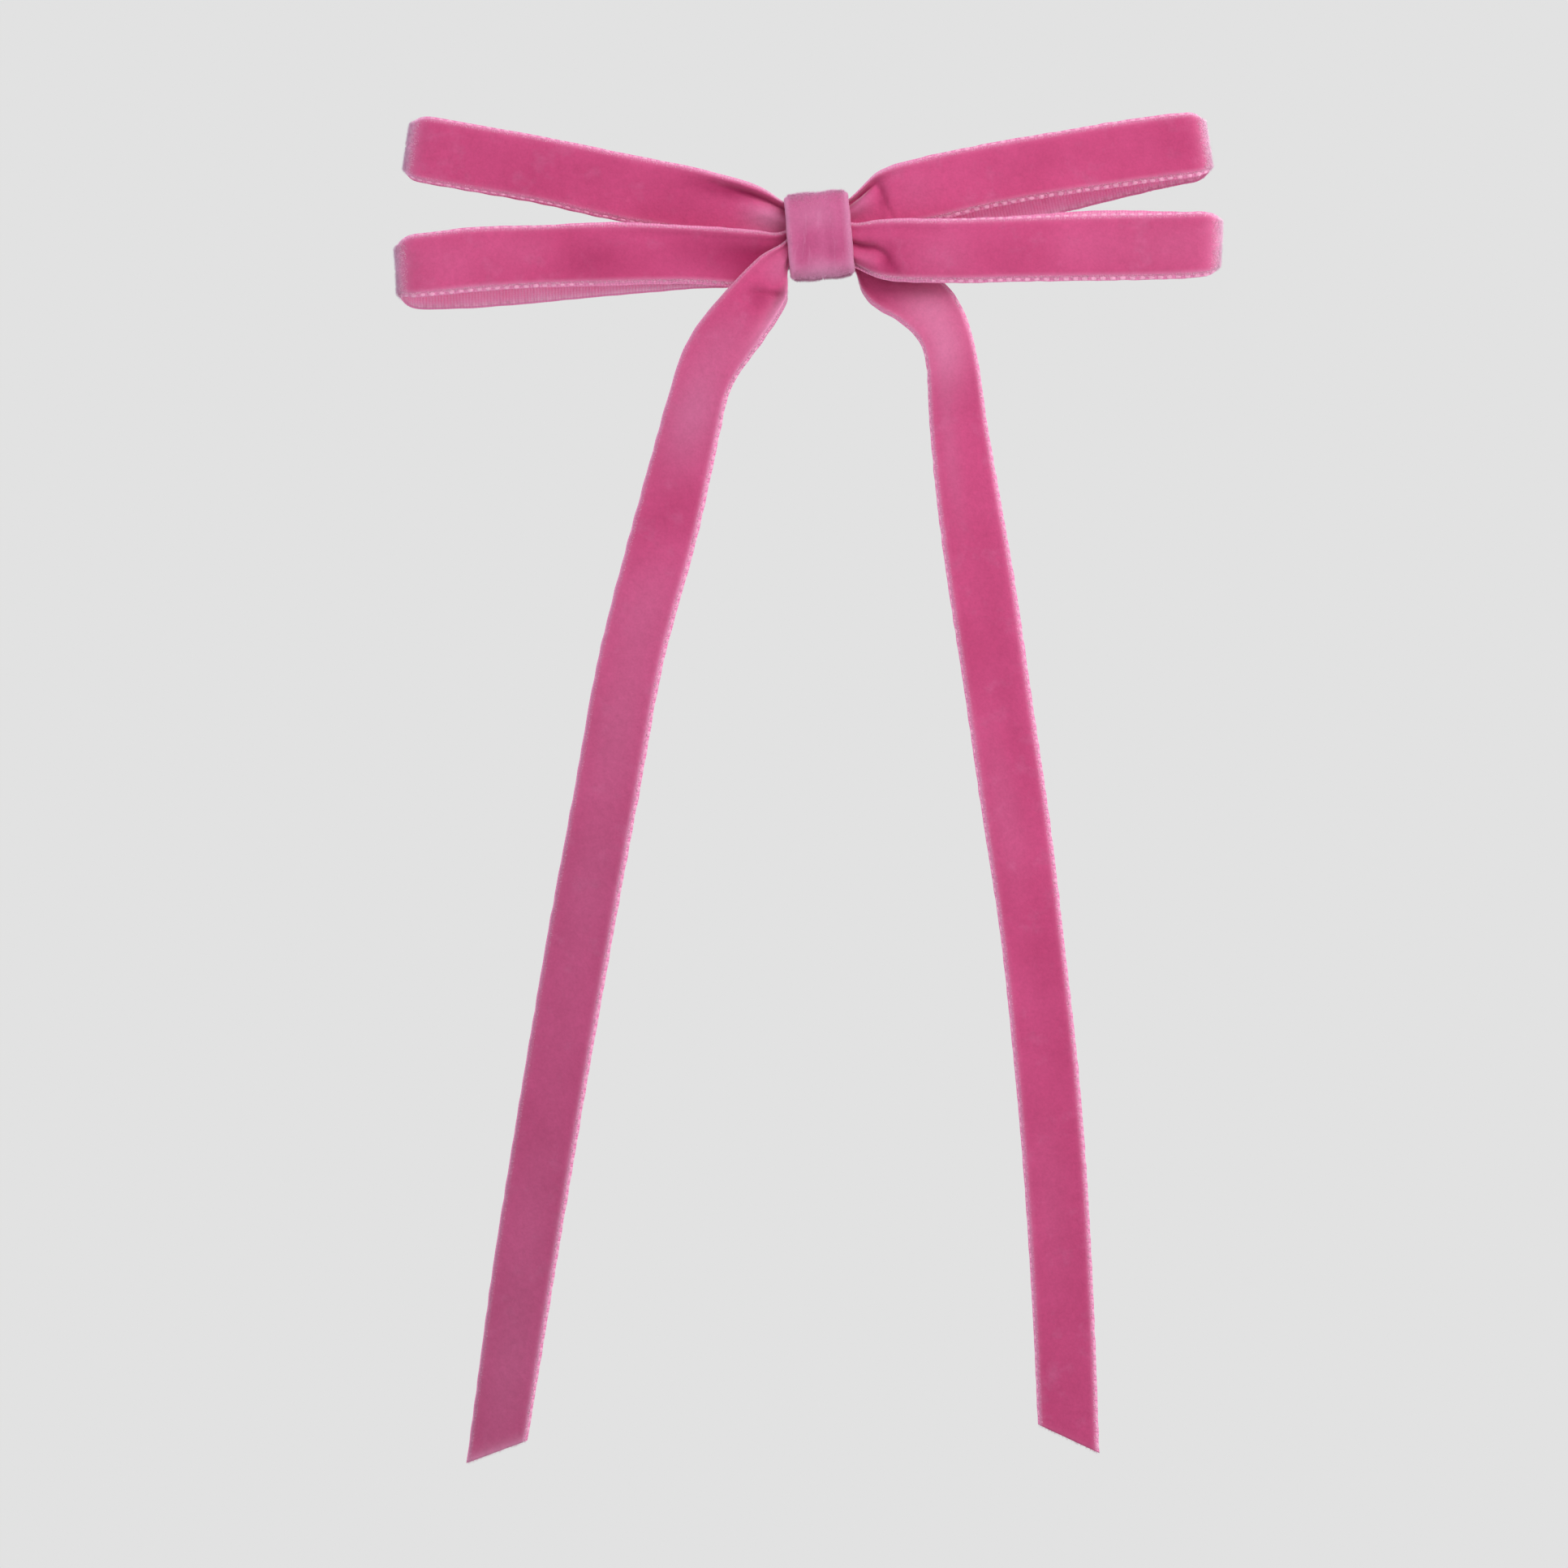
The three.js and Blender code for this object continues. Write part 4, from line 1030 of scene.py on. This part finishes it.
def make_knot_band():
    """A ribbon with folded edges, once round the bow and the bar, lapped over itself behind."""
    route = [
        (-5.45, -2.2), (-5.45, 0.5), (-5.45, 3.4), (-5.75, 4.6), (-6.8, 5.05), (-10.5, 5.6), (-13.7, 6.1),
        (-14.8, 5.95), (-15.3, 5.1), (-15.5, 2.4), (-15.5, -2.4), (-15.3, -4.9), (-14.8, -5.75),
        (-13.7, -5.9), (-10.5, -5.5), (-6.8, -5.05), (-5.6, -4.5), (-5.0, -3.2), (-4.7, -1.8),
        (-4.65, 0.25),
    ]
    seed = 71
    half = KNOT_WIDTH / 2
    stations = [[-half, z, half, z, y] for y, z in route]
    rows, along = edge_rows(stations)
    rows = np.hstack([tilted(rows[:, :3]), tilted(rows[:, 3:])])
    creases = [([(0, 1.8), (90, 1.2)], 0.18, 1.6), ([(0, -2.4), (90, -2.0)], 0.16, 1.2)]
    # Tone patches: lighter at the top and bottom of the band's front, where light is painted, and darker
    # in small spots on its face; the other patch paints sheen along its bottom turn.
    patches = [
        (28.8, 0, 3.4, 6, 1.0), (18.5, 1, 3.5, 4, 0.35), (24.4, -2.0, 1.6, 1.3, -0.35),
        (24.9, 2.9, 1.5, 1.2, -0.3), (22.3, 0.5, 2.2, 3, -0.25),
    ]
    band = ribbon_mesh(
        "knot_band_ribbon", rows, along, 1, seed, [BAND_PILE, SELVEDGE, WEAVE],
        creases, patches, painted_light_patches=[(28.2, 0, 1.7, 6, 0.42)], folded=True,
    )
    front = np.where(rows[:, 1] < -11, rows[:, 2] + rows[:, 5], 0)
    turns = (along[np.argmax(front)], along[np.argmin(front)])
    fringe = pile_fringe(
        "knot_band_pile_tips", rows, along, 1, seed + FRINGE_SEED, creases, turns, KNOT_TURN_HAIRS,
        material=BAND_TIPS,
    )
    for obj in (band, fringe):
        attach(obj, "bow_and_bar")
    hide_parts("knot_band")


def make_band_stitches():
    """Three stitches through the lapped end of the band."""
    route = [(-4.75, -1.0), (-4.15, -0.85), (-3.97, -0.3), (-4.02, 0.3), (-4.5, 0.75), (-5.0, 0.95)]
    for i, x in enumerate((-2.2, 0, 2.2)):
        path = catmull([(x + 0.12 * k * (-1) ** i, y, z) for k, (y, z) in enumerate(route)], 8)
        stitch = new_object(f"band_stitch_{i + 1}_thread", *tube(tilted(path), 0.15, 10), [THREAD])
        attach(stitch, "bow_and_bar")
        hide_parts(f"band_stitch_{i + 1}")


def make_thread_tie():
    """Thread wound round and round the gathered ribbon, under the band."""
    turns, radius = 8, 0.14
    half_x, half_z, y_front, y_back = 1.06, 4.35, -14.45, -8.1
    path = []
    for i in range(turns * 48 + 1):
        t = i / 48
        angle = 2 * math.pi * t
        c, s = math.cos(angle), math.sin(angle)
        y = (y_front + y_back) / 2 + (y_back - y_front) / 2 * math.copysign(abs(s) ** 0.4, s)
        z = half_z * math.copysign(abs(c) ** 0.4, c)
        path.append((-half_x + 2 * half_x * t / turns, y, z))
    tie = new_object("thread_tie_winding", *tube(path, radius, 8), [THREAD])
    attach(tie, "bow_and_bar")
    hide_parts("thread_tie")


make_knot_band()
make_band_stitches()
make_thread_tie()


# ---- The clip -----------------------------------------------------------------------------------

def make_felt_pad():
    """A strip of felt along the bar's arch, with soft cut edges."""
    _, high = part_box("felt_pad")
    half_x, half_z = high[0] / MM - FELT_MARGIN, high[2] / MM - FELT_MARGIN
    ring = [(math.cos(a), math.sin(a)) for a in np.linspace(0, 2 * math.pi, 48, endpoint=False)]
    xs = np.linspace(-half_x, half_x, 61)
    points = []
    for x in xs:
        sag = FELT_ARCH - math.sqrt(FELT_ARCH**2 - x**2)
        middle_y = FELT_CREST_Y + sag
        end = 1 - 0.35 * max(0, abs(x) / half_x - 0.94) / 0.06
        for c, s in ring:
            z = half_z * end * math.copysign(abs(c) ** 0.25, c)
            y = middle_y + FELT_THICKNESS / 2 * math.copysign(abs(s) ** 0.6, s)
            fuzz = FELT_FUZZ * float(ripple(np.array(x * 1.7), np.array(z * 1.7 + y), 83))
            points.append((x, y + fuzz, z * (1 + 0.01 * fuzz / FELT_FUZZ)))
    pad = new_object("felt_pad_strip", points, tube_faces(len(xs), len(ring)), [FELT])
    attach(pad, "bow_and_bar")
    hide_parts("felt_pad")


def finish_steel():
    """Nickel plating on the clip's stamped parts, and rounded edges to catch the light."""
    strips = ("base_bar", "closing_arm", "tension_bar")
    small = ("hinge_pin", "clasp_bridge", "clasp_rivet", "clasp_jaw_upper", "clasp_jaw_lower")
    for node in strips + small:
        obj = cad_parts[node]
        material = STEEL if node in strips else STEEL_SMALL
        for slot in obj.material_slots:
            slot.material = material
        if not obj.material_slots:
            obj.data.materials.append(material)
        bevel = obj.modifiers.new("edges", "BEVEL")
        bevel.width = STEEL_BEVEL * MM
        bevel.segments = 2
        bevel.limit_method = "ANGLE"
        bevel.angle_limit = math.radians(35)


make_felt_pad()
finish_steel()


# ---- Studio -------------------------------------------------------------------------------------

def make_camera():
    """Straight at the bow from the front, like the photograph."""
    camera = bpy.data.objects.new("camera", bpy.data.cameras.new("camera"))
    camera.location = (VIEW_CENTRE[0], -VIEW_DISTANCE, VIEW_CENTRE[1])
    camera.rotation_euler = (math.pi / 2, 0, 0)
    to_bow = VIEW_DISTANCE - BOW_FRONT
    camera.data.sensor_width = SENSOR
    camera.data.lens = SENSOR * to_bow / VIEW_WIDTH
    camera.data.clip_start = 0.05
    bpy.context.scene.collection.objects.link(camera)
    bpy.context.scene.camera = camera


def make_light(name, location, size, power, colour):
    """A round soft light aimed at the bow."""
    light = bpy.data.lights.new(name, "AREA")
    light.shape = "DISK"
    light.size = size
    light.energy = power
    light.color = colour
    obj = bpy.data.objects.new(name, light)
    obj.location = location
    aim = Vector((0, 0, -0.06)) - Vector(location)
    obj.rotation_euler = aim.to_track_quat("-Z", "Y").to_euler()
    obj.visible_camera = False
    bpy.context.scene.collection.objects.link(obj)


def make_studio():
    """A pale surround, a floor that glows like it, and the lights."""
    world = bpy.data.worlds.new("studio")
    world.use_nodes = True
    nodes, links = world.node_tree.nodes, world.node_tree.links
    backdrop = nodes["Background"]
    backdrop.inputs["Color"].default_value = (BACKGROUND, BACKGROUND, BACKGROUND, 1)
    ambient = nodes.new("ShaderNodeBackground")
    ambient.inputs["Color"].default_value = (0.93, 0.96, 1.0, 1)
    ambient.inputs["Strength"].default_value = AMBIENT
    mix = nodes.new("ShaderNodeMixShader")
    seen = nodes.new("ShaderNodeLightPath")
    links.new(seen.outputs["Is Camera Ray"], mix.inputs[0])
    links.new(ambient.outputs[0], mix.inputs[1])
    links.new(backdrop.outputs[0], mix.inputs[2])
    links.new(mix.outputs[0], nodes["World Output"].inputs[0])
    bpy.context.scene.world = world
    bpy.context.scene.view_settings.view_transform = "Standard"

    bpy.ops.mesh.primitive_circle_add(
        vertices=96, radius=FLOOR_RADIUS, fill_type="NGON", location=(0, 0, FLOOR_Z),
    )
    floor = bpy.context.object
    floor.name = "floor"
    pale = bpy.data.materials.new("pale_floor")
    pale.use_nodes = True
    shader = pale.node_tree.nodes["Principled BSDF"]
    shader.inputs["Base Color"].default_value = (0.02, 0.02, 0.02, 1)
    shader.inputs["Roughness"].default_value = 1.0
    shader.inputs["Specular IOR Level"].default_value = 0.0
    shader.inputs["Emission Color"].default_value = (BACKGROUND, BACKGROUND, BACKGROUND, 1)
    shader.inputs["Emission Strength"].default_value = FLOOR_GLOW
    floor.data.materials.append(pale)

    make_light("key", (0.22, -0.44, 0.32), 0.45, 2.0, (1.0, 0.97, 0.95))
    make_light("front", (0.02, -0.44, 0.12), 0.36, 0.5, (1.0, 0.98, 0.97))
    make_light("fill", (-0.9, -0.9, 0.45), 0.9, 0.3, (0.88, 0.92, 1.0))
    make_light("right_rim", (0.60, 0.10, 0.14), 0.4, 2.3, (0.92, 1.0, 0.99))
    make_light("left_rim", (-0.26, 0.05, 0.10), 0.2, 0.27, (0.66, 0.90, 1.0))
    make_light("back", (-0.2, 0.9, 0.7), 0.8, 4.0, (1.0, 1.0, 1.0))


make_camera()
make_studio()
